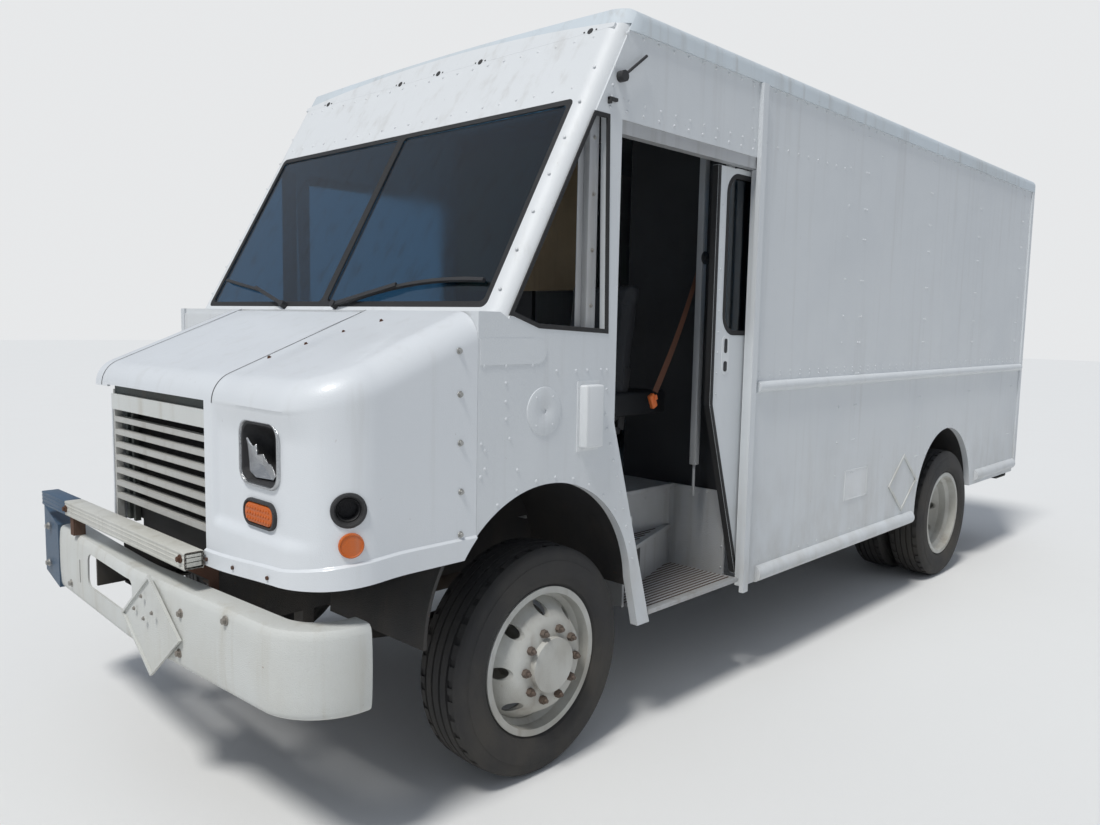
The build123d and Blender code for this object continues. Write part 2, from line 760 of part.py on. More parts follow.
# Cab sides: one panel each, with the arch, the quarter window and the door opening cut
frame_back = post_depth * slope
frame_dip = post_depth * rake / slope
window_head_z = 2647
window_foot_z = 1858
window_points = [(-1145, window_head_z), (-1122, 1797), (-1516, 1815), (-1650, window_foot_z)]
with BuildPart() as cab_side:
    with BuildSketch(Plane.YZ.offset(inner_x)) as panel:
        with BuildLine():
            Polyline(
                (seam_y, nose_bottom_z - 100),
                (seam_y, cowl_z),
                (rake_y(cowl_z), cowl_z),
                (rake_y(cowl_z - frame_dip) + frame_back, cowl_z - frame_dip),
                (rake_y(roof_edge_z) + frame_back, roof_edge_z),
                (post_y, roof_edge_z),
                (post_y, wall_bottom_z),
                (post_y + door_foot - 85, wall_bottom_z),
                (post_y + door_foot - 190, nose_bottom_z - 100),
                close=True,
            )
        make_face()
        with BuildLine():
            Polyline(
                (post_y + door_front, door_header_z),
                (post_y + 1, door_header_z),
                (post_y + 1, wall_bottom_z - 1),
                (post_y + door_foot, wall_bottom_z - 1),
                (post_y + door_front, door_kink_z),
                close=True,
            )
        make_face(mode=Mode.SUBTRACT)
        with BuildLine():
            Polyline(
                *[(post_y + y, z) for y, z in window_points],
                (rake_y(window_foot_z) + frame_back / 2, window_foot_z),
                (rake_y(window_head_z) + frame_back / 2, window_head_z),
                close=True,
            )
        make_face(mode=Mode.SUBTRACT)
    extrude(amount=wall)
    extrude(side_arch(front_arch_y, front_arch_z, front_arch_radius), amount=1500, mode=Mode.SUBTRACT)
with BuildPart() as cab_sides:
    add(cab_side.part)
    add(mirror(cab_side.part, about=Plane.YZ, mode=Mode.PRIVATE))
cab_sides.part.label = "cab_sides"
export_step(cab_sides.part, "parts/cab_sides.step")

# Cargo sides: long flat walls, arched over the rear wheels
with BuildPart() as cargo_side:
    with BuildSketch(Plane.YZ.offset(inner_x)) as cargo_panel:
        with BuildLine():
            Polyline(
                (post_y, wall_bottom_z),
                (post_y, roof_edge_z),
                (rear_y - rear_post, roof_edge_z),
                (rear_y - rear_post, skirt_z),
                (post_y + rear_arch_y, skirt_z),
                (post_y + rear_arch_y, wall_bottom_z),
                close=True,
            )
        make_face()
    extrude(amount=wall)
    extrude(side_arch(rear_arch_y, rear_arch_z, rear_arch_radius), amount=1500, mode=Mode.SUBTRACT)
with BuildPart() as cargo_sides:
    add(cargo_side.part)
    add(mirror(cargo_side.part, about=Plane.YZ, mode=Mode.PRIVATE))
cargo_sides.part.label = "cargo_sides"
export_step(cargo_sides.part, "parts/cargo_sides.step")

# Roof: crowned sheet whose rolled edge laps over the side walls, cut off along the raked front
lap = 12
lap_drop = 30
edge_round = 46
with BuildPart() as roof:
    with BuildSketch(Plane.XZ.offset(-rear_y)) as roof_section:
        outer = body_half + lap
        side_z = roof_edge_z + 20
        with BuildLine():
            Line((-outer, roof_edge_z - lap_drop), (-outer, side_z))
            ThreePointArc(
                (-outer, side_z),
                (-outer + 0.29 * edge_round, side_z + 0.71 * edge_round),
                (-outer + edge_round, side_z + edge_round),
            )
            ThreePointArc(
                (-outer + edge_round, side_z + edge_round),
                (0, roof_edge_z + roof_crown),
                (outer - edge_round, side_z + edge_round),
            )
            ThreePointArc(
                (outer - edge_round, side_z + edge_round),
                (outer - 0.29 * edge_round, side_z + 0.71 * edge_round),
                (outer, side_z),
            )
            Polyline(
                (outer, side_z),
                (outer, roof_edge_z - lap_drop),
                (body_half + seat_gap, roof_edge_z - lap_drop),
                (body_half + seat_gap, roof_edge_z + seat_gap),
                (inner_x - 2 * lap, roof_edge_z + seat_gap),
            )
            ThreePointArc(
                (inner_x - 2 * lap, roof_edge_z + seat_gap),
                (0, roof_edge_z + roof_crown - roof_sheet),
                (-inner_x + 2 * lap, roof_edge_z + seat_gap),
            )
            Polyline(
                (-inner_x + 2 * lap, roof_edge_z + seat_gap),
                (-body_half - seat_gap, roof_edge_z + seat_gap),
                (-body_half - seat_gap, roof_edge_z - lap_drop),
                (-outer, roof_edge_z - lap_drop),
            )
        make_face()
    extrude(amount=rear_y - rake_y(roof_edge_z - lap_drop))
    split(bisect_by=rake_plane.offset(seat_gap), keep=Keep.BOTTOM)
    for side in (-1, 1):
        with BuildSketch(foot_plane) as roof_corner:
            with BuildLine():
                ThreePointArc(
                    (side * (post_start + lap - 20), -1),
                    (side * (post_start + lap - 20 + post_arc), -1 + post_arc * 0.3),
                    (side * (body_half + lap - 8), post_depth),
                )
                Polyline(
                    (side * (body_half + lap - 8), post_depth),
                    (side * (body_half + lap + 1), 2 * post_depth),
                    (side * (body_half + 2 * lap), 2 * post_depth),
                    (side * (body_half + 2 * lap), -40),
                    (side * (post_start + lap - 20), -40),
                    (side * (post_start + lap - 20), -1),
                )
            make_face()
        extrude(amount=2 * frame_tall, mode=Mode.SUBTRACT)
roof.part.label = "roof"
export_step(roof.part, "parts/roof.step")

# Floor: flat deck cut away for the step wells and the wheel housings, on cross sills over the rails
floor_half = door_inner_x - 13
deck_front_y = seam_y + 130
well_front = -800       # step well, from the pillar
well_back = -30
well_inner_x = 740
liner = 6               # raised load deck behind the bulkhead
liner_half = housing_inner_x - 20
well_sheet = 14
sill_depth = 60
bulkhead_y = post_y + 20
bulkhead_sheet = 30
sill_height = floor_z - floor_sheet - rail_top_z
housing_outer = front_tunnel_radius + housing_sheet
rear_housing_outer = rear_arch_radius + housing_sheet
rear_chord = math.sqrt(rear_housing_outer**2 - (floor_z - floor_sheet - rear_arch_z) ** 2) + 2
door_travel_back = post_y + door_front - door_overlap + door_full + door_width + moving_gap
sill_stations = [-1900, -700, 0, 700, 1400, 2700]
with BuildPart() as floor:
    with BuildSketch(Plane.XY.offset(floor_z - floor_sheet)) as deck:
        with BuildLine():
            Polyline(
                (-floor_half, post_y + front_arch_y + housing_outer + 2),
                (-floor_half, door_travel_back),
                (-inner_x + seat_gap, door_travel_back),
                (-inner_x + seat_gap, rear_y - rear_post - seat_gap),
                (inner_x - seat_gap, rear_y - rear_post - seat_gap),
                (inner_x - seat_gap, door_travel_back),
                (floor_half, door_travel_back),
                (floor_half, post_y + front_arch_y + housing_outer + 2),
                (housing_inner_x - 2, post_y + front_arch_y + housing_outer + 2),
                (housing_inner_x - 2, deck_front_y),
                (-housing_inner_x + 2, deck_front_y),
                (-housing_inner_x + 2, post_y + front_arch_y + housing_outer + 2),
                close=True,
            )
        make_face()
        for side in (-1, 1):
            with Locations((side * (well_inner_x + 500), post_y + (well_front + well_back) / 2)):
                Rectangle(1000, well_back - well_front, mode=Mode.SUBTRACT)
            with Locations((side * (housing_inner_x + 498), post_y + rear_arch_y)):
                Rectangle(1000, 2 * rear_chord, mode=Mode.SUBTRACT)
    extrude(amount=floor_sheet)
    with Locations((0, deck_front_y + 15, floor_z + 165)):
        Box(2 * housing_inner_x - 4, 30, 330)
    with Locations((0, cover_back_y - 500, floor_z)):
        Box(2 * cover_half, 1000, 1000, mode=Mode.SUBTRACT)
    for y in sill_stations:
        with Locations((0, y, rail_top_z + sill_height / 2)):
            Box(2 * housing_inner_x, sill_depth, sill_height)
    liner_front_y = bulkhead_y + bulkhead_sheet + 20
    liner_back_y = rear_y - rear_post - 20
    with Locations((0, (liner_front_y + liner_back_y) / 2, floor_z + liner / 2)):
        Box(2 * liner_half, liner_back_y - liner_front_y, liner)
floor.part.label = "floor"
export_step(floor.part, "parts/floor.step")

# Step wells: folded aluminium treads and risers below each cab door
tread_front_x = 1010    # the upper tread's nosing runs aslant across the well
tread_back_x = 756
nosing = 30
with BuildPart() as step_well:
    tread_length = well_back - well_front
    tread_y = post_y + (well_front + well_back) / 2
    with Locations((
        (well_inner_x + body_half) / 2,
        tread_y + well_sheet,
        step_z - well_sheet / 2,
    )):
        Box(body_half - well_inner_x, tread_length - 2 * well_sheet, well_sheet)
    for outer_x, y in (
        (door_inner_x - moving_gap, post_y + well_back - well_sheet / 2),
        (door_inner_x - 60, post_y + well_front + well_sheet / 2),
    ):
        with Locations(((outer_x + well_inner_x) / 2, y, (step_z + floor_z) / 2)):
            Box(outer_x - well_inner_x, well_sheet, floor_z - step_z + 2 * well_sheet)
    with Locations((well_inner_x + well_sheet / 2, tread_y, (upper_step_z + step_z - well_sheet) / 2)):
        Box(well_sheet, tread_length, upper_step_z - step_z + well_sheet)
    with BuildSketch(Plane.XY.offset(upper_step_z - well_sheet)) as upper_tread:
        with BuildLine():
            Polyline(
                (well_inner_x, post_y + well_front),
                (tread_front_x, post_y + well_front),
                (tread_back_x, post_y + well_back),
                (well_inner_x, post_y + well_back),
                close=True,
            )
        make_face()
    extrude(amount=well_sheet)
    with BuildSketch(Plane.XY.offset(step_z - well_sheet)) as riser:
        with BuildLine():
            Polyline(
                (tread_front_x - nosing, post_y + well_front),
                (tread_front_x - nosing + well_sheet, post_y + well_front),
                (tread_back_x - nosing + 2 * well_sheet, post_y + well_back),
                (tread_back_x - nosing + well_sheet, post_y + well_back),
                close=True,
            )
        make_face()
    extrude(amount=upper_step_z - step_z)
    with Locations((well_inner_x + well_sheet / 2, tread_y, (upper_step_z + floor_z) / 2)):
        Box(well_sheet, tread_length, floor_z - upper_step_z)
with BuildPart() as step_wells:
    add(step_well.part)
    add(mirror(step_well.part, about=Plane.YZ, mode=Mode.PRIVATE))
step_wells.part.label = "step_wells"
export_step(step_wells.part, "parts/step_wells.step")

# Wheel housings: half round tunnels behind the arches
with BuildPart() as wheel_housings:
    for station, height, radius in (
        (front_arch_y, front_arch_z, front_tunnel_radius),
        (rear_arch_y, rear_arch_z, rear_arch_radius),
    ):
        for side in (-1, 1):
            start_x = housing_inner_x if side > 0 else -inner_x + seat_gap
            with BuildSketch(Plane.YZ.offset(start_x)) as tunnel:
                with Locations((post_y + station, height)):
                    Circle(radius + housing_sheet)
                    Circle(radius, mode=Mode.SUBTRACT)
                with Locations((post_y + station, height - radius)):
                    Rectangle(3 * radius, 2 * radius, mode=Mode.SUBTRACT)
            extrude(amount=inner_x - seat_gap - housing_inner_x)
            cheek_x = housing_inner_x if side > 0 else -housing_inner_x - housing_sheet
            with BuildSketch(Plane.YZ.offset(cheek_x)) as cheek:
                with Locations((post_y + station, height)):
                    Circle(radius + 1)
                with Locations((post_y + station, rail_top_z + 20 - radius)):
                    Rectangle(3 * radius, 2 * radius, mode=Mode.SUBTRACT)
            extrude(amount=housing_sheet)
wheel_housings.part.label = "wheel_housings"
export_step(wheel_housings.part, "parts/wheel_housings.step")

# Bulkhead behind the cab with a middle doorway
bulkhead_half = door_inner_x - moving_gap
doorway_half = 380
doorway_top_z = 2850
with BuildPart() as bulkhead:
    with BuildSketch(Plane.XZ.offset(-bulkhead_y - bulkhead_sheet)) as partition:
        with Locations((0, (floor_z + roof_edge_z) / 2 + seat_gap)):
            Rectangle(2 * bulkhead_half, roof_edge_z - floor_z)
        with Locations((0, (floor_z + doorway_top_z) / 2)):
            Rectangle(2 * doorway_half, doorway_top_z - floor_z + 2, mode=Mode.SUBTRACT)
    extrude(amount=bulkhead_sheet)
bulkhead.part.label = "bulkhead"
export_step(bulkhead.part, "parts/bulkhead.step")

# Rear frame: posts, header and sill round the doorway, its posts wrapping the wall ends
rear_open_half = body_half - 105
rear_open_top_z = 2820
with BuildPart() as rear_ring_form:
    with BuildSketch(Plane.XZ.offset(-rear_y)) as rear_ring:
        with Locations((0, (skirt_z + 60 + roof_edge_z) / 2)):
            Rectangle(2 * (body_half + lap), roof_edge_z - skirt_z - 60)
        with Locations((0, (floor_z + rear_open_top_z) / 2)):
            Rectangle(2 * rear_open_half, rear_open_top_z - floor_z, mode=Mode.SUBTRACT)
    extrude(amount=rear_post - seat_gap)
    with BuildSketch(Plane.XZ.offset(-rear_y)) as top_corners:
        with Locations((0, roof_edge_z)):
            Rectangle(3 * body_half, 2 * lap_drop + 1)
    extrude(amount=rear_post, mode=Mode.SUBTRACT)
    with BuildSketch(Plane.XZ.offset(-rear_y)) as top_bar:
        with Locations((0, roof_edge_z - lap_drop)):
            Rectangle(2 * body_half, 2 * lap_drop - 2)
    extrude(amount=rear_post - seat_gap)
# Engine cover: insulated box over the engine between the seats
with BuildPart() as engine_cover:
    with BuildSketch(Plane.XZ.offset(-cover_back_y)) as cover_section:
        with Locations((0, (floor_z - floor_sheet + cover_top_z) / 2)):
            Rectangle(2 * cover_half - 2 * seat_gap, cover_top_z - floor_z + floor_sheet)
    extrude(amount=cover_back_y - deck_front_y)
    fillet(engine_cover.edges().filter_by(Axis.Y).group_by(Axis.Z)[-1], radius=60)
    open_sides = engine_cover.faces().sort_by(Axis.Z)[0:1] + engine_cover.faces().sort_by(Axis.Y)[0:1]
    offset(amount=-cover_sheet, openings=open_sides, kind=Kind.INTERSECTION)
engine_cover.part.label = "engine_cover"
export_step(engine_cover.part, "parts/engine_cover.step")

# Sliding cab doors: flat leaf with a rounded window, slanted to follow the post, hung from a track
hanger_width = 60
track_bottom_z = door_top_z + 25
track_height = 14
roller_top_z = track_bottom_z + track_height + seat_gap + 24
lip_inner_x = door_inner_x + 20
door_shut_front = door_front - door_overlap
door_lean_z = 1448      # where the door's front edge starts to slant
door_window = (92, 715, 1795, 2552)
door_window_round = 90
with BuildPart() as door_shut:
    with BuildSketch(Plane.YZ.offset(door_inner_x)) as leaf_outline:
        with BuildLine():
            Polyline(
                (post_y + door_shut_front, door_top_z),
                (post_y + door_shut_front, door_lean_z),
                (post_y + door_foot - 20, step_z + moving_gap),
                (post_y + door_shut_front + door_width, step_z + moving_gap),
                (post_y + door_shut_front + door_width, door_top_z),
                close=True,
            )
        make_face()
        front, back, low, high = door_window
        with Locations((post_y + door_shut_front + (front + back) / 2, (low + high) / 2)):
            RectangleRounded(back - front, high - low, door_window_round, mode=Mode.SUBTRACT)
    extrude(amount=door_sheet)
    for offset_y in (140, door_width - 140):
        y = post_y + door_shut_front + offset_y
        with Locations((door_inner_x + 8, y, (door_top_z - 2 + roller_top_z) / 2)):
            Box(12, hanger_width, roller_top_z - door_top_z + 2)
        with Locations((door_inner_x + 17, y, roller_top_z - 12)):
            Box(30, hanger_width, 24)
with BuildPart() as pane_shut:
    with BuildSketch(Plane.YZ.offset(door_inner_x + (door_sheet - glass) / 2)) as pane:
        with Locations((post_y + door_shut_front + (front + back) / 2, (low + high) / 2)):
            RectangleRounded(
                back - front - 2 * seat_gap,
                high - low - 2 * seat_gap,
                door_window_round - seat_gap,
            )
    extrude(amount=glass)
for name, sign, opened in (("left", 1, door_rest), ("right", -1, door_full)):
    for stem, shut in (("side_door", door_shut), ("side_door_glass", pane_shut)):
        with BuildPart() as moved_piece:
            piece = shut.part.moved(Location((0, opened, 0)))
            add(piece if sign > 0 else mirror(piece, about=Plane.YZ, mode=Mode.PRIVATE))
        moved_piece.part.label = f"{stem}_{name}"
        export_step(moved_piece.part, f"parts/{stem}_{name}.step")

# Door tracks: lips along the walls for the hangers, and the extrusion that trims each opening
with BuildPart() as door_tracks:
    track_front = post_y + door_shut_front
    track_length = door_full + door_width
    for side in (-1, 1):
        with Locations((
            side * (lip_inner_x + inner_x - seat_gap) / 2,
            track_front + track_length / 2,
            track_bottom_z + track_height / 2,
        )):
            Box(inner_x - seat_gap - lip_inner_x, track_length, track_height)
        with Locations((
            side * (door_outer_x + body_half - 4) / 2,
            post_y + door_front / 2,
            (header_rail_z + door_header_z) / 2,
        )):
            Box(
                body_half - 4 - door_outer_x,
                -door_front - 2 * seat_gap,
                door_header_z - header_rail_z - 2 * seat_gap,
            )
        relief_z = track_bottom_z + track_height + 40
        with Locations((side * (door_outer_x + 4), post_y + door_front / 2, relief_z)):
            Box(12, -door_front - 2 * seat_gap, 80, mode=Mode.SUBTRACT)
door_tracks.part.label = "door_tracks"
export_step(door_tracks.part, "parts/door_tracks.step")

# Rear doors: two full height leaves on hinge pins outside the posts
leaf_sheet = 36
leaf_gap = moving_gap
rear_leaf_half = rear_open_half - leaf_gap
rear_hinge_x = rear_open_half + 40
rear_hinge_y = rear_y + 24
rear_hinge_radius = 9
hinge_heights = (1150, 1900, 2650)
hinge_tall = 90
with BuildPart() as rear_leaf:
    with BuildSketch(Plane.XZ.offset(-(rear_y - 4))) as rear_outline:
        leaf_width = rear_leaf_half - leaf_gap / 2
        with Locations(((leaf_gap + leaf_width) / 2, (floor_z + rear_open_top_z) / 2)):
            Rectangle(leaf_width, rear_open_top_z - floor_z - 2 * leaf_gap)
    extrude(amount=leaf_sheet)
    for z in hinge_heights:
        with BuildSketch(Plane.XY.offset(z - hinge_tall / 2)) as strap:
            with Locations((rear_hinge_x, rear_hinge_y)):
                Circle(rear_hinge_radius + 9)
            with BuildLine():
                Polyline(
                    (rear_hinge_x, rear_y + 8),
                    (rear_hinge_x, rear_hinge_y + 8),
                    (rear_leaf_half - 180, rear_y + 6),
                    (rear_leaf_half - 180, rear_y - 6),
                    (rear_leaf_half - 12, rear_y - 6),
                    (rear_leaf_half, rear_y + 8),
                    close=True,
                )
            make_face()
            with Locations((rear_hinge_x, rear_hinge_y)):
                Circle(rear_hinge_radius + pin_gap, mode=Mode.SUBTRACT)
        extrude(amount=hinge_tall)
for name, sign in (("left", 1), ("right", -1)):
    with BuildPart() as rear_door:
        add(rear_leaf.part if sign > 0 else mirror(rear_leaf.part, about=Plane.YZ, mode=Mode.PRIVATE))
    rear_door.part.label = f"rear_door_{name}"
    export_step(rear_door.part, f"parts/rear_door_{name}.step")
with BuildPart() as rear_frame:
    add(rear_ring_form.part)
    for side in (-1, 1):
        for z in hinge_heights:
            with BuildSketch(Plane.XY.offset(z - hinge_tall / 2 - 20)) as pin_section:
                with Locations((side * rear_hinge_x, rear_hinge_y)):
                    Circle(rear_hinge_radius)
            extrude(amount=hinge_tall + 40)
            for end in (-1, 1):
                with Locations((side * rear_hinge_x, rear_y + 14, z + end * (hinge_tall / 2 + 10.5))):
                    Box(24, 28, 19)
rear_frame.part.label = "rear_frame"
export_step(rear_frame.part, "parts/rear_frame.step")

# Trim: half round rub rails, sill rails and the upright strip over the pillar
rail_rise = 32
rub_z = 1525
rub_height = 56
sill_rail_z = 540
sill_rail_height = 88
skirt_rail_z = skirt_z + 70
strip_front = 22         # of the upright strip, ahead of the pillar
strip_width = 46
strip_rise = 24
# y from the pillar, y to, middle height, height
rails = [
    (60, cargo_length - rear_post - 10, rub_z, rub_height),
    (130, 2180, sill_rail_z, sill_rail_height),
    (3430, cargo_length - rear_post - 10, skirt_rail_z, sill_rail_height),
]
with BuildPart() as body_trim:
    for side in (-1, 1):
        for start, end, z, height in rails:
            with BuildSketch(Plane.XZ.offset(-(post_y + end))) as rail_section:
                with BuildLine():
                    face_x = side * (body_half + seat_gap)
                    Line((face_x, z - height / 2), (face_x, z + height / 2))
                    ThreePointArc(
                        (face_x, z + height / 2),
                        (side * (body_half + rail_rise), z),
                        (face_x, z - height / 2),
                    )
                make_face()
            extrude(amount=end - start)
        strip_top_z = roof_edge_z - lap_drop - 2
        strip_foot_z = wall_bottom_z - 25
        with Locations((
            side * (body_half + seat_gap + strip_rise / 2),
            post_y - strip_front + strip_width / 2,
            (strip_foot_z + strip_top_z) / 2,
        )):
            Box(strip_rise, strip_width, strip_top_z - strip_foot_z)
body_trim.part.label = "body_trim"
export_step(body_trim.part, "parts/body_trim.step")

# Wheels: a tyre section turned round the axle, and a dished disc rim with hand holes and its drum
bead_radius = 286
well_radius = 262
rim_sheet = 9
disc_offset = dual_spacing / 2 - 1
hand_holes = 8
hub_radius = 110
drum_radius = 205
drum_depth = 150


def tyre_section(x):
    """Tyre cross section standing on the rim, centred at x."""
    half = tyre_width / 2
    bead_half = rim_width / 2 - rim_sheet
    with BuildSketch(Plane.XY) as section:
        with BuildLine():
            Line((x - bead_half, bead_radius), (x + bead_half, bead_radius))
            Line((x + bead_half, bead_radius), (x + bead_half, rim_radius + 6))
            ThreePointArc(
                (x + bead_half, rim_radius + 6),
                (x + half, (rim_radius + tyre_radius) / 2 - 8),
                (x + half - 16, tyre_radius - 24),
            )
            Line((x + half - 16, tyre_radius - 24), (x + half - 34, tyre_radius - 5))
            ThreePointArc(
                (x + half - 34, tyre_radius - 5),
                (x, tyre_radius),
                (x - half + 34, tyre_radius - 5),
            )
            Line((x - half + 34, tyre_radius - 5), (x - half + 16, tyre_radius - 24))
            ThreePointArc(
                (x - half + 16, tyre_radius - 24),
                (x - half, (rim_radius + tyre_radius) / 2 - 8),
                (x - bead_half, rim_radius + 6),
            )
            Line((x - bead_half, rim_radius + 6), (x - bead_half, bead_radius))
        make_face()
    return section.sketch


def rim_section(x, dish):
    """Rim and disc cross section centred at x, its disc face set over by dish."""
    half = rim_width / 2
    with BuildSketch(Plane.XY) as section:
        with BuildLine():
            Polyline(
                (x - half, rim_radius),
                (x - half, bead_radius - rim_sheet),
                (x - half + 50, bead_radius - rim_sheet - 4),
                (x - half + 70, well_radius - rim_sheet),
                (x + half - 70, well_radius - rim_sheet),
                (x + half - 50, bead_radius - rim_sheet - 4),
                (x + half, bead_radius - rim_sheet),
                (x + half, rim_radius),
                (x + half - rim_sheet + seat_gap, rim_radius),
                (x + half - rim_sheet + seat_gap, bead_radius - seat_gap),
                (x + half - 50, bead_radius - seat_gap - 4),
                (x + half - 68, well_radius),
                (x - half + 68, well_radius),
                (x - half + 50, bead_radius - seat_gap - 4),
                (x - half + rim_sheet - seat_gap, bead_radius - seat_gap),
                (x - half + rim_sheet - seat_gap, rim_radius),
                close=True,
            )
        make_face()
        sign = 1 if dish > 0 else -1
        with BuildLine():
            Polyline(
                (x + 20 * sign, well_radius - 2),
                (x + dish - 14 * sign, 190),
                (x + dish, 165),
                (x + dish, hub_radius - 10),
                (x + dish - 14 * sign, hub_radius - 10),
                (x + dish - 14 * sign, 160),
                (x + dish - 30 * sign, 182),
                (x + 4 * sign, well_radius - 2),
                close=True,
            )
        make_face()
    return section.sketch


def turned(section, y):
    """The section turned right round the axle line that passes through station y."""
    with BuildPart() as ring:
        revolve(section, axis=Axis.X)
    return ring.part.moved(Location((0, y, axle_z)))


front_y = post_y + front_axle_y
# wheel name, side, station, tyre centres and the side that each disc is dished to
wheel_sets = [
    ("front_left", 1, front_y, [(front_track_half, 1)]),
    ("front_right", -1, front_y, [(front_track_half, 1)]),
    ("rear_left", 1, rear_centre_y, [(rear_outer_x, -1), (rear_outer_x - dual_spacing, 1)]),
    ("rear_right", -1, rear_centre_y, [(rear_outer_x, -1), (rear_outer_x - dual_spacing, 1)]),
]
for name, side, y, tyres in wheel_sets:
    with BuildPart() as tyre_set:
        for x, dished in tyres:
            add(turned(tyre_section(side * x), y))
    tyre_set.part.label = f"tyre_{name}"
    export_step(tyre_set.part, f"parts/tyre_{name}.step")
    with BuildPart() as rim_set:
        for x, dished in tyres:
            add(turned(rim_section(side * x, side * dished * disc_offset), y))
        face_x = tyres[0][0] + tyres[0][1] * disc_offset
        with BuildSketch(Plane.YZ.offset(side * face_x)) as hand_hole_ring:
            with Locations((y, axle_z)):
                with PolarLocations(215, hand_holes):
                    Circle(26)
        extrude(amount=400, both=True, mode=Mode.SUBTRACT)
        is_front = len(tyres) == 1
        hub_inner = king_pin_x + 75 if is_front else drum_inner_x + 20
        hub_outer = face_x + (25 if is_front else 110)
        bore = (spindle_radius if not is_front else 32) + pin_gap
        with BuildSketch(Plane.YZ.offset(side * hub_inner)) as hub_section:
            with Locations((y, axle_z)):
                Circle(hub_radius)
        extrude(amount=side * (hub_outer - hub_inner))
        with BuildSketch(Plane.YZ.offset(side * hub_inner)) as drum_section:
            with Locations((y, axle_z)):
                Circle(drum_radius)
        extrude(amount=side * (40 if is_front else drum_depth))
        bore_end = (hub_outer - 20) if is_front else (spindle_end_x + 2)
        with BuildSketch(Plane.YZ.offset(side * (hub_inner - 1))) as hub_bore:
            with Locations((y, axle_z)):
                Circle(bore)
        extrude(amount=side * (bore_end - hub_inner + 1), mode=Mode.SUBTRACT)
    rim_set.part.label = f"rim_{name}"
    export_step(rim_set.part, f"parts/rim_{name}.step")

# Steering knuckles: forked over the axle eyes, with the king pin, spindle and steering arm
ear_height = 28
spindle_tip_x = 1080
for name, side in (("left", 1), ("right", -1)):
    with BuildPart() as knuckle:
        for end in (-1, 1):
            ear_z = axle_z + end * (eye_height / 2 + seat_gap + ear_height / 2)
            with Locations((side * king_pin_x, front_y, ear_z)):
                Cylinder(eye_radius, ear_height)
            with Locations((side * (king_pin_x + 34), front_y, ear_z)):
                Box(68, 80, ear_height)
        with Locations((side * king_pin_x, front_y, axle_z)):
            Cylinder(king_pin_radius, eye_height + 2 * seat_gap + 2 * ear_height)
        with Locations((side * (king_pin_x + 60), front_y, axle_z)):
            Box(16, 80, eye_height + 2 * seat_gap + 2 * ear_height)
        with BuildSketch(Plane.YZ.offset(side * (king_pin_x + 60))) as stub:
            with Locations((front_y, axle_z)):
                Circle(32)
        extrude(amount=side * (spindle_tip_x - king_pin_x - 60))
        arm_z = axle_z - eye_height / 2 - seat_gap - ear_height / 2
        with Locations((side * (king_pin_x - 10), front_y + 110, arm_z)):
            Box(60, 190, 24)
    knuckle.part.label = f"knuckle_{name}"
    export_step(knuckle.part, f"parts/knuckle_{name}.step")

# Dashboard: padded shelf under the windscreen with the steering column
dash_back_y = post_y - 1330
dash_low_z = 1440
dash_top_z = 1790
wheel_x = 560
wheel_y = post_y - 1170
wheel_z = 1660
wheel_tilt = 45         # steering wheel's axis leans back from upright
wheel_radius = 225
wheel_grip = 15
column_radius = 30
column_dir = (0, math.sin(math.radians(wheel_tilt)), math.cos(math.radians(wheel_tilt)))
column_plane = Plane(origin=(wheel_x, wheel_y, wheel_z), x_dir=(1, 0, 0), z_dir=column_dir)
with BuildPart() as dashboard:
    with BuildSketch(Plane.YZ.offset(-inner_x + seat_gap)) as dash_profile:
        with BuildLine():
            FilletPolyline(
                (seam_y + 12, dash_low_z),
                (seam_y + 12, dash_top_z),
                (dash_back_y - 60, dash_top_z),
                (dash_back_y, dash_top_z - 120),
                (dash_back_y - 60, dash_low_z),
                radius=25,
                close=True,
            )
        make_face()
    extrude(amount=2 * (inner_x - seat_gap))
    with BuildSketch(column_plane.offset(-40)) as column:
        Circle(column_radius)
    extrude(amount=-430)
dashboard.part.label = "dashboard"
export_step(dashboard.part, "parts/dashboard.step")

with BuildPart() as steering_wheel:
    with BuildSketch(Plane.XZ) as grip:
        with Locations((wheel_radius, 0)):
            Circle(wheel_grip)
    revolve(axis=Axis.Z)
    Cylinder(45, 36, align=(Align.CENTER, Align.CENTER, Align.MAX))
    with BuildSketch(Plane.XY.offset(-24)) as spokes:
        for angle in (90, 210, 330):
            with Locations(Rot(0, 0, angle) * Pos(wheel_radius / 2, 0)):
                Rectangle(wheel_radius, 34)
    extrude(amount=16)
    Cylinder(14, 40 - seat_gap, align=(Align.CENTER, Align.CENTER, Align.MAX))
steering_wheel_placed = steering_wheel.part.moved(column_plane.location)
steering_wheel_placed.label = "steering_wheel"
export_step(steering_wheel_placed, "parts/steering_wheel.step")

# Driver's seat on a box pedestal
seat_y = post_y - 620
seat_x = 500
seat_top_z = 1430
with BuildPart() as driver_seat:
    with Locations((seat_x, seat_y, (floor_z + seat_top_z - 120) / 2)):
        Box(300, 320, seat_top_z - 120 - floor_z)
    with Locations((seat_x, seat_y, seat_top_z - 60)):
        Box(460, 480, 120)
    fillet(driver_seat.edges().filter_by(lambda edge: edge.center().Z > seat_top_z - 1), radius=30)
    with BuildSketch(Plane.YZ.offset(seat_x - 230)) as back_rest:
        with BuildLine():
            FilletPolyline(
                (seat_y + 150, seat_top_z - 80),
                (seat_y + 250, seat_top_z - 80),
                (seat_y + 350, seat_top_z + 640),
                (seat_y + 260, seat_top_z + 640),
                radius=25,
                close=True,
            )
        make_face()
    extrude(amount=460)
driver_seat.part.label = "driver_seat"
export_step(driver_seat.part, "parts/driver_seat.step")

# Wipers: two arms with blades lying on the glass, in the raked plane
wiper_lift = 14
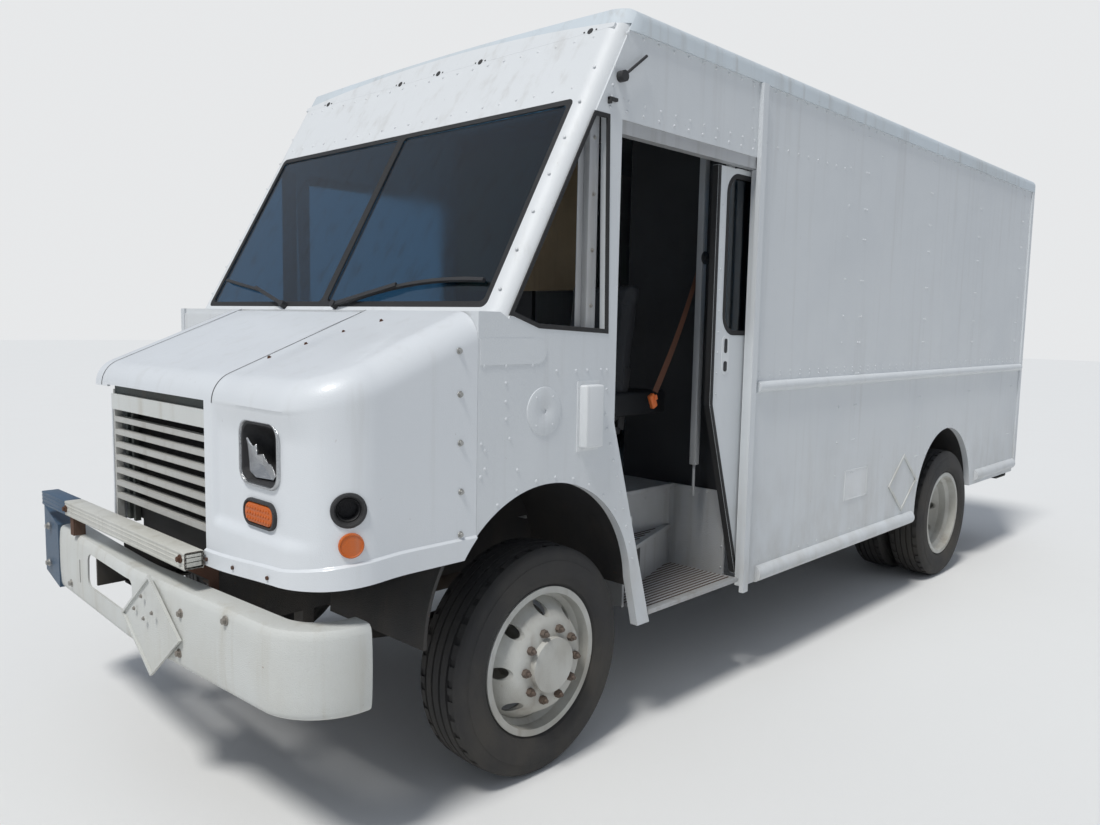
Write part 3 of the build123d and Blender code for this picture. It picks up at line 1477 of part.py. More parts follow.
# pivot, arm's end, blade's ends and its middle
wiper_sets = [
    ((-310, 20), (-650, 116), (-600, 104), (-820, 138), (-1017, 171)),
    ((124, 20), (520, 112), (215, 40), (520, 108), (1040, 130)),
]
with BuildPart() as wipers:
    for pivot_at, arm_end, blade_start, blade_middle, blade_end in wiper_sets:
        with BuildSketch(rake_plane) as pivot:
            with Locations(pivot_at):
                Circle(16)
        extrude(amount=30)
        with BuildSketch(rake_plane.offset(wiper_lift)) as arm:
            with BuildLine() as arm_line:
                Line(pivot_at, arm_end)
            trace(lines=arm_line.line, line_width=18)
        extrude(amount=10)
        with BuildSketch(rake_plane.offset(seat_gap)) as blade:
            with BuildLine() as blade_line:
                ThreePointArc(blade_start, blade_middle, blade_end)
            trace(lines=blade_line.line, line_width=14)
        extrude(amount=wiper_lift + 2)
wipers.part.label = "wipers"
export_step(wipers.part, "parts/wipers.step")

# Placard holders: open diamond frames on both sides, and a backed one on the bumper's face
placard_y = post_y + 2010
placard_z = 800
placard_half_width = 235
placard_half_height = 196
placard_sheet = 6
placard_border = 26
bumper_placard_x = 196
bumper_placard_z = 660


def diamond(inset):
    """Diamond outline drawn in by inset on each corner."""
    with BuildSketch(Plane.XY) as outline:
        with BuildLine():
            Polyline(
                (-placard_half_width + inset, 0),
                (0, placard_half_height - inset),
                (placard_half_width - inset, 0),
                (0, -placard_half_height + inset),
                close=True,
            )
        make_face()
    return outline.sketch


bumper_placard_y = bumper_face_y + bumper_vee * bumper_placard_x / bumper_half - seat_gap
bumper_plane = Plane(
    origin=(bumper_placard_x, bumper_placard_y, bumper_placard_z),
    x_dir=(bumper_half, bumper_vee, 0),
    z_dir=(bumper_vee, -bumper_half, 0),
)
with BuildPart() as placard_frames:
    for side in (-1, 1):
        start = body_half + seat_gap if side > 0 else -body_half - seat_gap - placard_sheet
        with BuildSketch(Plane.YZ.offset(start)) as side_frame:
            with Locations((placard_y, placard_z)):
                add(diamond(0))
                add(diamond(placard_border), mode=Mode.SUBTRACT)
        extrude(amount=placard_sheet)
    with BuildSketch(bumper_plane) as backing:
        add(diamond(0))
    extrude(amount=placard_sheet / 2)
    with BuildSketch(bumper_plane) as border:
        add(diamond(0))
        add(diamond(placard_border / 2), mode=Mode.SUBTRACT)
    extrude(amount=2 * placard_sheet)
placard_frames.part.label = "placard_frames"
export_step(placard_frames.part, "parts/placard_frames.step")

# Antenna: swivel base and short mast on the driver's side over the door
antenna_y = post_y - 1084
antenna_z = 2808
with BuildPart() as antenna:
    with BuildSketch(Plane.YZ.offset(body_half + seat_gap)) as base:
        with Locations((antenna_y, antenna_z)):
            Circle(22)
    extrude(amount=30)
    mast_dir = (0.15, 145, 109)
    mast_plane = Plane(origin=(body_half + 20, antenna_y, antenna_z), z_dir=mast_dir)
    with BuildSketch(mast_plane) as mast:
        Circle(6)
    extrude(amount=180)
antenna.part.label = "antenna"
export_step(antenna.part, "parts/antenna.step")

# Tail lamps on the rear posts
tail_lamp_radius = 50
tail_lamp_heights = (780, 895)
tail_lamp_depth = 28
with BuildPart() as tail_lamps:
    for side in (-1, 1):
        for z in tail_lamp_heights:
            with BuildSketch(Plane.XZ.offset(-(rear_y + tail_lamp_depth))) as tail_lens:
                with Locations((side * (rear_open_half + 58), z)):
                    Circle(tail_lamp_radius)
            extrude(amount=tail_lamp_depth - seat_gap)
tail_lamps.part.label = "tail_lamps"
export_step(tail_lamps.part, "parts/tail_lamps.step")

# Rear step bumper: open tread box carried on the rails
rear_step_height = 110
rear_step_z = rail_bottom_z - seat_gap - rear_step_height
rear_step_depth = 260
rear_step_y = rear_y - 150
rear_step_half = screen_half
tread_plate = 6
with BuildPart() as rear_step:
    with BuildSketch(Plane.YZ.offset(-rear_step_half)) as step_section:
        with Locations((rear_step_y + rear_step_depth / 2, rear_step_z + rear_step_height / 2)):
            RectangleRounded(rear_step_depth, rear_step_height, 14)
        with Locations((rear_step_y + rear_step_depth / 2, rear_step_z + rear_step_height / 2)):
            Rectangle(rear_step_depth - 20, rear_step_height - 20, mode=Mode.SUBTRACT)
    extrude(amount=2 * rear_step_half)
    with Locations((0, rear_y + 55, rear_step_z + rear_step_height + tread_plate / 2)):
        Box(2 * (rear_step_half - 100), 100, tread_plate)
    for side in (-1, 1):
        bracket_top = rail_top_z - rail_sheet - 2
        with Locations((
            side * (rail_x + seat_gap + 8),
            rear_step_y + 40,
            (rear_step_z + rear_step_height - 5 + bracket_top) / 2,
        )):
            Box(16, 80, bracket_top - rear_step_z - rear_step_height + 5)
rear_step.part.label = "rear_step"
export_step(rear_step.part, "parts/rear_step.step")
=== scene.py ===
import bpy
import bmesh
from math import atan, atan2, cos, hypot, pi, radians, sin, tan
from mathutils import Matrix, Vector


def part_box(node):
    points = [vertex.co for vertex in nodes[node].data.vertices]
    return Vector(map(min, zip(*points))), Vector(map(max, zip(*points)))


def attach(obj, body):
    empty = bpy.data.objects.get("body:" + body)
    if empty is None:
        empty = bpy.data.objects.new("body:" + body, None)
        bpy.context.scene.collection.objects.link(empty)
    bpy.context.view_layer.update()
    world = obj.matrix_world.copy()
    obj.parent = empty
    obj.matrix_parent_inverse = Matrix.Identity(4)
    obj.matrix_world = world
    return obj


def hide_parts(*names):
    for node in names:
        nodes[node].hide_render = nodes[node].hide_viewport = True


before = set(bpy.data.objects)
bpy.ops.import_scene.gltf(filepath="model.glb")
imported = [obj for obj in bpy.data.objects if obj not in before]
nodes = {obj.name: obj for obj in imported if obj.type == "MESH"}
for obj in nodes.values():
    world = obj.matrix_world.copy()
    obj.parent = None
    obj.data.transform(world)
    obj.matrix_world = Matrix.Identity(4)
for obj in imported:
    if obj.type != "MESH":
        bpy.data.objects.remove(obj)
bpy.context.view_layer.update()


# Chassis: pressed steel channels, springs, axles, tank and pipe under the body, painted once and
# now dull, dusty and rusting. The same dust and rust effects serve every other finish.
def put(tree, kind, values=None, **settings):
    """A node in a tree, with plain values on its named sockets."""
    node = tree.nodes.new(kind)
    for key, value in settings.items():
        setattr(node, key, value)
    for label, value in (values or {}).items():
        node.inputs[label].default_value = value
    return node


def noise_mask(tree, place, stretch, scale, low, high, detail):
    """A 0 to 1 mask from noise stretched along the axes and cut between two levels."""
    spread = put(tree, "ShaderNodeMapping", {"Scale": stretch})
    cloud = put(tree, "ShaderNodeTexNoise", {"Scale": scale, "Detail": detail, "Roughness": 0.6})
    levels = {"From Min": low, "From Max": high}
    cut = put(tree, "ShaderNodeMapRange", levels, interpolation_type="SMOOTHSTEP")
    tree.links.new(place, spread.inputs["Vector"])
    tree.links.new(spread.outputs["Vector"], cloud.inputs["Vector"])
    tree.links.new(cloud.outputs["Fac"], cut.inputs["Value"])
    return cut.outputs["Result"]


weather_masks = {
    "Streaks": ((9, 9, 0.55), 1.6, 0.5, 0.78, 4.0), "Patches": ((1, 1, 1), 1.1, 0.35, 0.7, 4.0),
    "Specks": ((1, 1, 1), 38, 0.69, 0.76, 6.0), "Grain": ((1, 1, 1), 260, 0.2, 0.8, 2.0),
    "Low dirt": ((1, 1, 0.6), 5, 0.3, 0.75, 4.0), "Waves": ((1, 1, 1), 2.2, 0.2, 0.8, 1.0),
}
low_dirt_fade = {"From Min": 1.25, "From Max": 0.45}
weather = bpy.data.node_groups.new("weather", "ShaderNodeTree")
for label in weather_masks:
    weather.interface.new_socket(name=label, in_out="OUTPUT", socket_type="NodeSocketFloat")
weather_out = weather.nodes.new("NodeGroupOutput")
weather_place = put(weather, "ShaderNodeTexCoord").outputs["Object"]
for label, settings in weather_masks.items():
    mask = noise_mask(weather, weather_place, *settings)
    if label == "Low dirt":
        height = put(weather, "ShaderNodeSeparateXYZ")
        fade = put(weather, "ShaderNodeMapRange", low_dirt_fade)
        both = put(weather, "ShaderNodeMath", operation="MULTIPLY")
        weather.links.new(weather_place, height.inputs["Vector"])
        weather.links.new(height.outputs["Z"], fade.inputs["Value"])
        weather.links.new(fade.outputs["Result"], both.inputs[0])
        weather.links.new(mask, both.inputs[1])
        mask = both.outputs["Value"]
    weather.links.new(mask, weather_out.inputs[label])


def weathered(name, colour, streak=(0.3, (0.3, 0.29, 0.26)), patch=(0.3, (0.5, 0.5, 0.5)),
              speck=(0.0, (0.16, 0.06, 0.025)), low=(0.3, (0.2, 0.18, 0.14)), rough=0.45,
              metal=0.0, coat=0.0, wave=0.05, grain=0.02):
    """A painted, cast or bare surface with its own share and tint of each weathering."""
    material = bpy.data.materials.new(name)
    material.use_nodes = True
    tree = material.node_tree
    link = tree.links.new
    shader = tree.nodes["Principled BSDF"]
    shader.inputs["Coat Weight"].default_value = coat
    shader.inputs["Coat Roughness"].default_value = 0.12
    shader.inputs["Metallic"].default_value = metal
    wear = put(tree, "ShaderNodeGroup", node_tree=weather)
    shown = None
    layers = {"Patches": patch, "Streaks": streak, "Low dirt": low, "Specks": speck}
    for mask, (share, tint) in layers.items():
        amount = put(tree, "ShaderNodeMath", operation="MULTIPLY")
        amount.inputs[1].default_value = share
        layer = put(tree, "ShaderNodeMix", {"B": (*tint, 1)}, data_type="RGBA")
        link(wear.outputs[mask], amount.inputs[0])
        link(amount.outputs["Value"], layer.inputs["Factor"])
        if shown is None:
            layer.inputs["A"].default_value = (*colour, 1)
        else:
            link(shown, layer.inputs["A"])
        shown = layer.outputs["Result"]
    dull = put(tree, "ShaderNodeMapRange", {"To Min": rough, "To Max": min(1.0, rough + 0.25)})
    fine = put(tree, "ShaderNodeBump", {"Strength": 0.35, "Distance": grain * 0.02})
    broad = put(tree, "ShaderNodeBump", {"Strength": 0.5, "Distance": wave * 0.1})
    link(shown, shader.inputs["Base Color"])
    link(wear.outputs["Patches"], dull.inputs["Value"])
    link(dull.outputs["Result"], shader.inputs["Roughness"])
    link(wear.outputs["Grain"], fine.inputs["Height"])
    link(wear.outputs["Waves"], broad.inputs["Height"])
    link(fine.outputs["Normal"], broad.inputs["Normal"])
    link(broad.outputs["Normal"], shader.inputs["Normal"])
    return material


def dress(material, *names):
    """A finish on CAD nodes, whose loose triangles are joined and shaded smooth across soft bends."""
    for name in names:
        node = nodes[name]
        node.data.materials.clear()
        node.data.materials.append(material)
        node.data.polygons.foreach_set("use_smooth", [True] * len(node.data.polygons))
        node.modifiers.new("joined", "WELD").merge_threshold = 0.00005
        node.modifiers.new("crisp", "EDGE_SPLIT").split_angle = radians(32)


frame_black = weathered(
    "frame_black", (0.028, 0.028, 0.03), streak=(0.3, (0.09, 0.07, 0.05)), patch=(0.5, (0.05, 0.045, 0.04)),
    speck=(0.8, (0.12, 0.05, 0.02)), low=(0.5, (0.1, 0.085, 0.065)), rough=0.6, grain=0.4)
cast_rust = weathered(
    "cast_rust", (0.06, 0.05, 0.045), patch=(0.7, (0.11, 0.06, 0.035)), speck=(0.9, (0.2, 0.08, 0.03)),
    rough=0.75, metal=0.3, grain=1.2)
dress(frame_black, "chassis_frame", "leaf_springs", "fuel_tank", "exhaust_pipe", "rear_step")
dress(cast_rust, "front_axle", "rear_axle", "knuckle_left", "knuckle_right", "engine_block")


# Tyres: ribbed highway tyres with a rim guard and a scuffed sidewall, four grooves and two rows
# of shoulder blocks on each, mounted single in front and in pairs behind.
scene = bpy.context.scene


def new_object(name, shape):
    """An object made from a bmesh, which is then freed."""
    mesh = bpy.data.meshes.new(name)
    shape.to_mesh(mesh)
    shape.free()
    piece = bpy.data.objects.new(name, mesh)
    scene.collection.objects.link(piece)
    return piece


def finish_mesh(name, shape, material, body="chassis", sharp=35.0):
    """A piece from a bmesh: normals outward, smooth but for its sharp bends, riding on a body."""
    bmesh.ops.remove_doubles(shape, verts=shape.verts, dist=0.00002)
    bmesh.ops.recalc_face_normals(shape, faces=shape.faces)
    piece = new_object(name, shape)
    piece.data.shade_smooth()
    piece.data.set_sharp_from_angle(angle=radians(sharp))
    piece.data.materials.append(material)
    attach(piece, body)
    return piece


def spin_line(shape, points, middle, axis, steps):
    """The skin that a line of points sweeps in a full turn about an axis."""
    line = [shape.verts.new(point) for point in points]
    edges = [shape.edges.new(pair) for pair in zip(line, line[1:])]
    bmesh.ops.spin(shape, geom=line + edges, cent=middle, axis=axis, angle=2 * pi, steps=steps,
                   use_merge=True)


def middle_of(node):
    """The middle of a CAD node's box."""
    low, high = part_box(node)
    return (low + high) / 2


sides = ((1, "left"), (-1, "right"))
front_track, outer_track, inner_track = 1.025, 1.07, 0.78
tread_steps = 110
block_reach, block_band, block_sink = 0.462, (0.066, 0.096), 0.007
steps_per_block = 3
tyre_profile = [
    (0.097, 0.287), (0.099, 0.309), (0.111, 0.317), (0.119, 0.333), (0.1262, 0.352), (0.1268, 0.372),
    (0.1255, 0.392), (0.1225, 0.41), (0.1195, 0.4125), (0.1175, 0.43), (0.113, 0.445), (0.104, 0.457),
    (0.093, 0.4645), (0.066, 0.467), (0.0645, 0.4565), (0.0565, 0.4565), (0.055, 0.468), (0.026, 0.4695),
    (0.0245, 0.457), (0.0165, 0.457), (0.015, 0.47),
]
rubber_black = weathered(
    "tyre_rubber", (0.022, 0.022, 0.023), patch=(0.75, (0.05, 0.048, 0.046)), streak=(0.0, (0, 0, 0)),
    low=(0.5, (0.085, 0.075, 0.06)), speck=(0.2, (0.1, 0.09, 0.08)), rough=0.72, grain=0.8, wave=0.0)
for end, tracks in (("front", (front_track,)), ("rear", (outer_track, inner_track))):
    for side, side_name in sides:
        corner = f"{end}_{side_name}"
        hub = middle_of("tyre_" + corner) * Vector((0, 1, 1))
        shape = bmesh.new()
        for track in tracks:
            half = [(way * across, up) for way, points in ((1, tyre_profile), (-1, tyre_profile[::-1]))
                    for across, up in points]
            outline = [Vector((side * track + across, 0, up)) + hub for across, up in half]
            spin_line(shape, outline, hub, (1, 0, 0), tread_steps)
        shoulders = []
        for face in shape.faces:
            centre = face.calc_center_median() - hub
            step = atan2(centre.z, centre.y) / (2 * pi) * tread_steps
            offset = min(abs(centre.x - side * track) for track in tracks)
            outermost = hypot(centre.y, centre.z) > block_reach
            if outermost and block_band[0] < offset < block_band[1] and round(step) % steps_per_block == 0:
                shoulders.append(face)
        for face in bmesh.ops.extrude_discrete_faces(shape, faces=shoulders)["faces"]:
            centre = face.calc_center_median() - hub
            inward = Vector((0, -centre.y, -centre.z)).normalized() * block_sink
            bmesh.ops.translate(shape, verts=face.verts, vec=inward)
        tyre = finish_mesh("tyre_tread_" + corner, shape, rubber_black, "wheel_" + corner, 28)
        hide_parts("tyre_" + corner)


# Rims: white painted steel discs, chalky and specked with rust, held by ten rusty nuts each, with
# the hub's grease cap in the middle of each front one and a drive flange in the middle of the rear.
def facing(place, outward):
    """A matrix that stands a form's own Z along a direction at a place."""
    turn = Vector((0, 0, 1)).rotation_difference(Vector(outward)).to_matrix().to_4x4()
    return Matrix.Translation(Vector(place)) @ turn


def cone(shape, stand, radii, depth, segments, capped=True):
    """A cone or cylinder about a placing matrix's Z, with its first and last radius."""
    bmesh.ops.create_cone(shape, cap_ends=capped, segments=segments, radius1=radii[0], radius2=radii[1],
                          depth=depth, matrix=stand)


def round_spots(centre, radius, count, shift=0.0):
    """Places spread evenly round a centre in the plane of a wheel."""
    turns = [2 * pi * (index + shift) / count for index in range(count)]
    return [centre + Vector((0, cos(turn) * radius, sin(turn) * radius)) for turn in turns]


rim_white = weathered(
    "rim_white", (0.62, 0.63, 0.6), patch=(0.6, (0.42, 0.4, 0.35)), streak=(0.4, (0.2, 0.13, 0.08)),
    speck=(0.9, (0.2, 0.09, 0.04)), low=(0.5, (0.25, 0.22, 0.17)), rough=0.5, grain=0.3, wave=0.0)
nut_steel = weathered(
    "nut_steel", (0.2, 0.17, 0.15), patch=(0.7, (0.12, 0.07, 0.045)), speck=(0.7, (0.25, 0.11, 0.05)),
    rough=0.5, metal=0.6, grain=0.4, wave=0.0)
dress(rim_white, "rim_front_left", "rim_front_right", "rim_rear_left", "rim_rear_right")
nut_circle, cap_circle = 0.1425, 0.062
for end, disc_x, hub_reach in (("front", 1.169, 0.012), ("rear", 0.94, 0.1)):
    for side, side_name in sides:
        corner = f"{end}_{side_name}"
        outward = Vector((side, 0, 0))
        disc = middle_of("rim_" + corner) * Vector((0, 1, 1)) + disc_x * outward
        shape = bmesh.new()
        for spot in round_spots(disc + 0.008 * outward, nut_circle, 10):
            cone(shape, facing(spot, outward), (0.0175, 0.0165), 0.024, 6)
            cone(shape, facing(spot, outward), (0.009, 0.008), 0.05, 10)
        cone(shape, facing(disc + hub_reach * outward, outward), (0.086, 0.07), 0.02, 32)
        for spot in round_spots(disc + (hub_reach + 0.006) * outward, cap_circle, 8, 0.5):
            cone(shape, facing(spot, outward), (0.009, 0.009), 0.012, 6)
        finish_mesh("wheel_nuts_" + corner, shape, nut_steel, "wheel_" + corner)


# Bumper: a pressed steel channel with rolled edges, white and scuffed, made by carrying its section
# along one plan line. Its far wing is a blue pressing, bent upward.
def round_corner(start, slope, bend, past):
    """Plan point and outward direction past a bend's start, on its arc and straight back after it."""
    turn = slope + past / bend
    beyond = max(0.0, turn - pi / 2)
    out = Vector((sin(turn - beyond), -cos(turn - beyond), 0))
    return start + bend * (out + Vector((-sin(slope), cos(slope) + beyond, 0))), out


bumper_face, bumper_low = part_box("front_bumper")[0].yz
bumper_reach, corner_bend = 1.185, 0.25
bumper_start, bumper_end = -0.95, 1.335
skin_set = 0.004
flat_half, lean_run = 0.05, 0.12
sweep, sweep_rate = 0.06, 0.049588


def bumper_line(along):
    """Plan point and outward direction at a length along the bumper from its middle, to the left."""
    straight = bumper_reach - corner_bend
    slope = atan2(sweep, bumper_reach)
    front = bumper_face + skin_set + sweep_rate * max(0.0, min(along, straight) - flat_half)
    if along < straight:
        lean = slope * min(1.0, along / lean_run)
        return Vector((along, front, 0)), Vector((sin(lean), -cos(lean), 0))
    return round_corner(Vector((straight, front, 0)), slope, corner_bend, along - straight)


def lofted(shape, lines, ring=True, ends=1):
    """Skin over lines of equal count, rings or open lines: the last ring is filled, or both or none."""
    lines = [[shape.verts.new(point) for point in line] for line in lines]
    count = len(lines[0])
    for first, second in zip(lines, lines[1:]):
        for index in range(count if ring else count - 1):
            after = (index + 1) % count
            shape.faces.new((first[index], first[after], second[after], second[index]))
    for line in (lines[-1], lines[0])[:ends if ring else 0]:
        shape.faces.new(line)
    return lines


def slab(shape, middle, size, turn=None):
    """A block added to a shape, turned about its own middle if a turn is given."""
    corners = bmesh.ops.create_cube(shape, size=1.0)["verts"]
    bmesh.ops.scale(shape, vec=size, verts=corners)
    if turn:
        bmesh.ops.rotate(shape, matrix=turn, verts=corners)
    bmesh.ops.translate(shape, vec=middle, verts=corners)


def round_edges(shape, radius, segments=2, edges=None):
    """Edges of a shape rounded, all of them unless some are given."""
    bmesh.ops.bevel(shape, geom=edges or shape.edges[:], offset=radius, segments=segments, profile=0.5,
                    affect="EDGES", material=-1)


def slot_cutter(name, middle, size, radius):
    """A block with its four edges along Y rounded, used to cut a slot."""
    block = bmesh.new()
    slab(block, middle, size)
    along = [edge for edge in block.edges
             if abs((edge.verts[0].co - edge.verts[1].co).normalized().y) > 0.9]
    round_edges(block, radius, 6, along)
    return new_object(name, block)


def worked_mesh(piece):
    """A piece's mesh with its modifiers worked in, which are then taken off it."""
    bpy.context.view_layer.update()
    mesh = bpy.data.meshes.new_from_object(piece.evaluated_get(bpy.context.evaluated_depsgraph_get()))
    piece.modifiers.clear()
    return mesh


def cut_away(piece, cutters):
    """A piece with the cutters' shapes taken out of it."""
    for cutter in cutters:
        work = piece.modifiers.new("cut", "BOOLEAN")
        work.operation = "DIFFERENCE"
        work.solver = "EXACT"
        work.object = cutter
    piece.data = worked_mesh(piece)
    piece.data.set_sharp_from_angle(angle=radians(35))
    for cutter in cutters:
        bpy.data.objects.remove(cutter)


bumper_white = weathered(
    "bumper_white", (0.62, 0.635, 0.615), patch=(0.4, (0.53, 0.535, 0.5)), streak=(0.4, (0.4, 0.36, 0.28)),
    speck=(0.75, (0.2, 0.1, 0.05)), low=(0.3, (0.45, 0.42, 0.34)), rough=0.4, grain=0.15, wave=0.1)
wing_blue = weathered(
    "wing_blue", (0.05, 0.095, 0.155), patch=(0.5, (0.075, 0.13, 0.2)), streak=(0.3, (0.04, 0.06, 0.085)),
    speck=(0.7, (0.12, 0.07, 0.04)), low=(0.3, (0.05, 0.06, 0.07)), rough=0.38, grain=0.15, wave=0.1)
channel_section = [(0.095, 0.0), (0.03, 0.0), (0.014, 0.003), (0.004, 0.012), (0.0, 0.028), (-0.003, 0.08),
                   (-0.004, 0.15), (-0.003, 0.22), (0.0, 0.268), (0.004, 0.286), (0.014, 0.297), (0.03, 0.3),
                   (0.095, 0.3)]
bumper_columns = 132
bumper_rows = []
for column in range(bumper_columns, -1, -1):
    length = bumper_start + column / bumper_columns * (bumper_end - bumper_start)
    place, outward = bumper_line(abs(length))
    if length < 0:
        place.x, outward.x = -place.x, -outward.x
    bumper_rows.append([place - outward * depth + Vector((0, 0, bumper_low + height))
                        for depth, height in channel_section])
shape = bmesh.new()
lofted(shape, bumper_rows, ring=False)
shape.normal_update()
bmesh.ops.solidify(shape, geom=shape.faces[:], thickness=0.008)
bumper_skin = finish_mesh("bumper_skin", shape, bumper_white)
cut_away(bumper_skin, [
    slot_cutter("slot_cut", (-0.255, bumper_face + 0.02, 0.72), (0.545, 0.3, 0.145), 0.036),
    slot_cutter("slit_cut", (-0.64, bumper_face + 0.04, 0.685), (0.014, 0.3, 0.108), 0.005),
])
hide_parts("front_bumper")
dress(wing_blue, "bumper_wing")

# Bumper bolts: zinc plated bolts with washers through both pressings and smaller ones on the
# placard holders, all of them specked with rust.
bolt_zinc = weathered(
    "bolt_zinc", (0.42, 0.42, 0.4), patch=(0.6, (0.2, 0.15, 0.11)), speck=(0.9, (0.25, 0.11, 0.05)),
    rough=0.4, metal=0.7, grain=0.2, wave=0.0)


def bolt_heads(name, spots, radius, material, body="chassis", sides=6):
    """Bolt heads with washers at places, each along its own outward direction."""
    heads = bmesh.new()
    for place, outward in spots:
        stand = facing(place, outward)
        cone(heads, stand, (radius * 1.5, radius * 1.4), radius * 0.35, 14)
        raised = stand @ Matrix.Translation((0, 0, radius * 0.4))
        cone(heads, raised, (radius, radius * 0.92), radius * 1.3, sides)
    finish_mesh(name, heads, material, body)


def on_end(y, spots, way=-1):
    """Places on a wall across the vehicle from (x, z) pairs, facing the front unless way is 1."""
    return [((x, y, z), (0, way, 0)) for x, z in spots]


bumper_bolts = [((x, bumper_line(abs(x))[0].y - 0.003, z), (0, -1, 0))
                for x, z in ((0.414, 0.756), (0.395, 0.602), (0.726, 0.804), (-0.78, 0.6))]
bumper_bolts += on_end(-3.528, ((-1.05, 0.82), (-1.06, 0.64)))
bolt_heads("bumper_bolts", bumper_bolts, 0.012, bolt_zinc)
placard_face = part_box("placard_frames")[0].y
placard_spots = ((0.155, 0.768), (0.173, 0.685), (0.25, 0.725), (0.085, 0.704))
bolt_heads("placard_screws", on_end(placard_face + 0.004, placard_spots), 0.006, bolt_zinc, sides=10)


# Step beam: a ribbed aluminium extrusion over the bumper, painted white but for its far end, with
# a rusty hanger behind its ribs and two rusty bolts through its face.
def block_piece(name, material, slabs, radius=0.0, segments=2, body="chassis", sharp_slabs=()):
    """A piece of blocks with rounded edges, and of some more that stay sharp."""
    shape = bmesh.new()
    for block in slabs:
        slab(shape, *block)
    if radius:
        round_edges(shape, radius, segments)
    for block in sharp_slabs:
        slab(shape, *block)
    return finish_mesh(name, shape, material, body)


beam_white = weathered(
    "beam_white", (0.62, 0.62, 0.58), patch=(0.5, (0.45, 0.44, 0.38)), streak=(0.4, (0.3, 0.27, 0.2)),
    speck=(0.6, (0.2, 0.1, 0.05)), rough=0.45, grain=0.2)
rust_iron = weathered(
    "rust_iron", (0.13, 0.055, 0.03), patch=(0.7, (0.07, 0.04, 0.03)), speck=(0.8, (0.3, 0.14, 0.06)),
    rough=0.85, metal=0.2, grain=2.0)
dress(rust_iron, "step_beam")
beam_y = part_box("step_beam")[0].y + 0.035
beam_ribs = ((0.934, 0.008), (0.953, 0.006), (0.97, 0.006), (0.9845, 0.008))
for name, start, end, material in (("beam_ribs", -0.75, 0.47, beam_white),
                                   ("beam_ribs_far", -1.06, -0.752, wing_blue)):
    middle, long = (start + end) / 2, end - start
    ribs = [((middle, beam_y, height), (long, 0.074, wide)) for height, wide in beam_ribs]
    block_piece(name, material, ribs + [((middle, beam_y, 0.958), (long, 0.0706, 0.0646))], 0.0015)
bolt_heads("beam_bolts", on_end(-3.549, ((0.44, 0.965), (-0.735, 0.957))), 0.011, rust_iron)

# Nose: gel-coated moulding. The left fender keeps one skin from grille to cab: a lamp panel sunk
# softly into its face, a crease above the hem, a rolled shoulder and a raked top. On the right
# only the strip beside the hood is left.
gel_white = weathered(
    "gel_white", (0.7, 0.725, 0.745), patch=(0.25, (0.62, 0.66, 0.7)), streak=(0.16, (0.45, 0.44, 0.4)),
    speck=(0.25, (0.25, 0.17, 0.12)), low=(0.25, (0.45, 0.43, 0.38)), rough=0.3, coat=0.35, wave=0.05,
    grain=0.05)
nose_face, nose_side, nose_top = -3.455, 1.19, 1.6
nose_turn, shoulder = 0.23, 0.11
grille_half = 0.452
seam_line = -2.805
top_rise = 0.265 / 0.65
front_run = nose_side - nose_turn - grille_half
hem_rows, crease_rows, crease_pitch = 5, 4, 0.0025
wall_share, bend_share = 0.6, 0.16


def soft_step(value, low, high):
    """0 below low, 1 above high, smooth between."""
    part = min(1.0, max(0.0, (value - low) / (high - low)))
    return part * part * (3 - 2 * part)


def slope_height(y):
    """Height of the nose's raked top at a place from front to rear."""
    return nose_top + (y - nose_face) * top_rise


def nose_outline(along):
    """Plan point and outward direction at a length along the nose, from the grille to the cab."""
    if along <= front_run:
        return Vector((grille_half + along, nose_face, 0)), Vector((0, -1, 0))
    return round_corner(Vector((nose_side - nose_turn, nose_face, 0)), 0, nose_turn, along - front_run)


def crease_height(along, low):
    """Height of the crease that runs over the hem and rises away from the grille."""
    return low + 0.054 + 0.02 * soft_step(along, 0.5, 0.8)


def nose_relief(along, height, low):
    """How far the wall stands out: sunk round the lamps, proud at the hem and over the lamps."""
    crease = crease_height(along, low)
    proud = 0.009 * (1 - soft_step(height, crease, crease + 0.007))
    sunk = soft_step(along, 0.05, 0.085) * (1 - soft_step(along, 0.55, 0.7))
    sunk *= soft_step(height, 1.085, 1.13) * (1 - soft_step(height, 1.42, 1.56))
    swell = soft_step(along, 0.1, 0.3) * (1 - soft_step(along, 0.6, 0.95)) * soft_step(height, 1.42, 1.58)
    return proud - 0.019 * sunk + 0.009 * swell


def wall_height(row, wall_rows, low, crease, top):
    """Height of a row of the wall, with the rows closer together over the crease."""
    if row <= hem_rows:
        return low + (crease - 0.001 - low) * row / hem_rows
    past = row - hem_rows - crease_rows
    if past <= 0:
        return crease + crease_pitch * (row - hem_rows)
    start = crease + crease_pitch * crease_rows
    return start + (top - start) * past / (wall_rows - hem_rows - crease_rows)


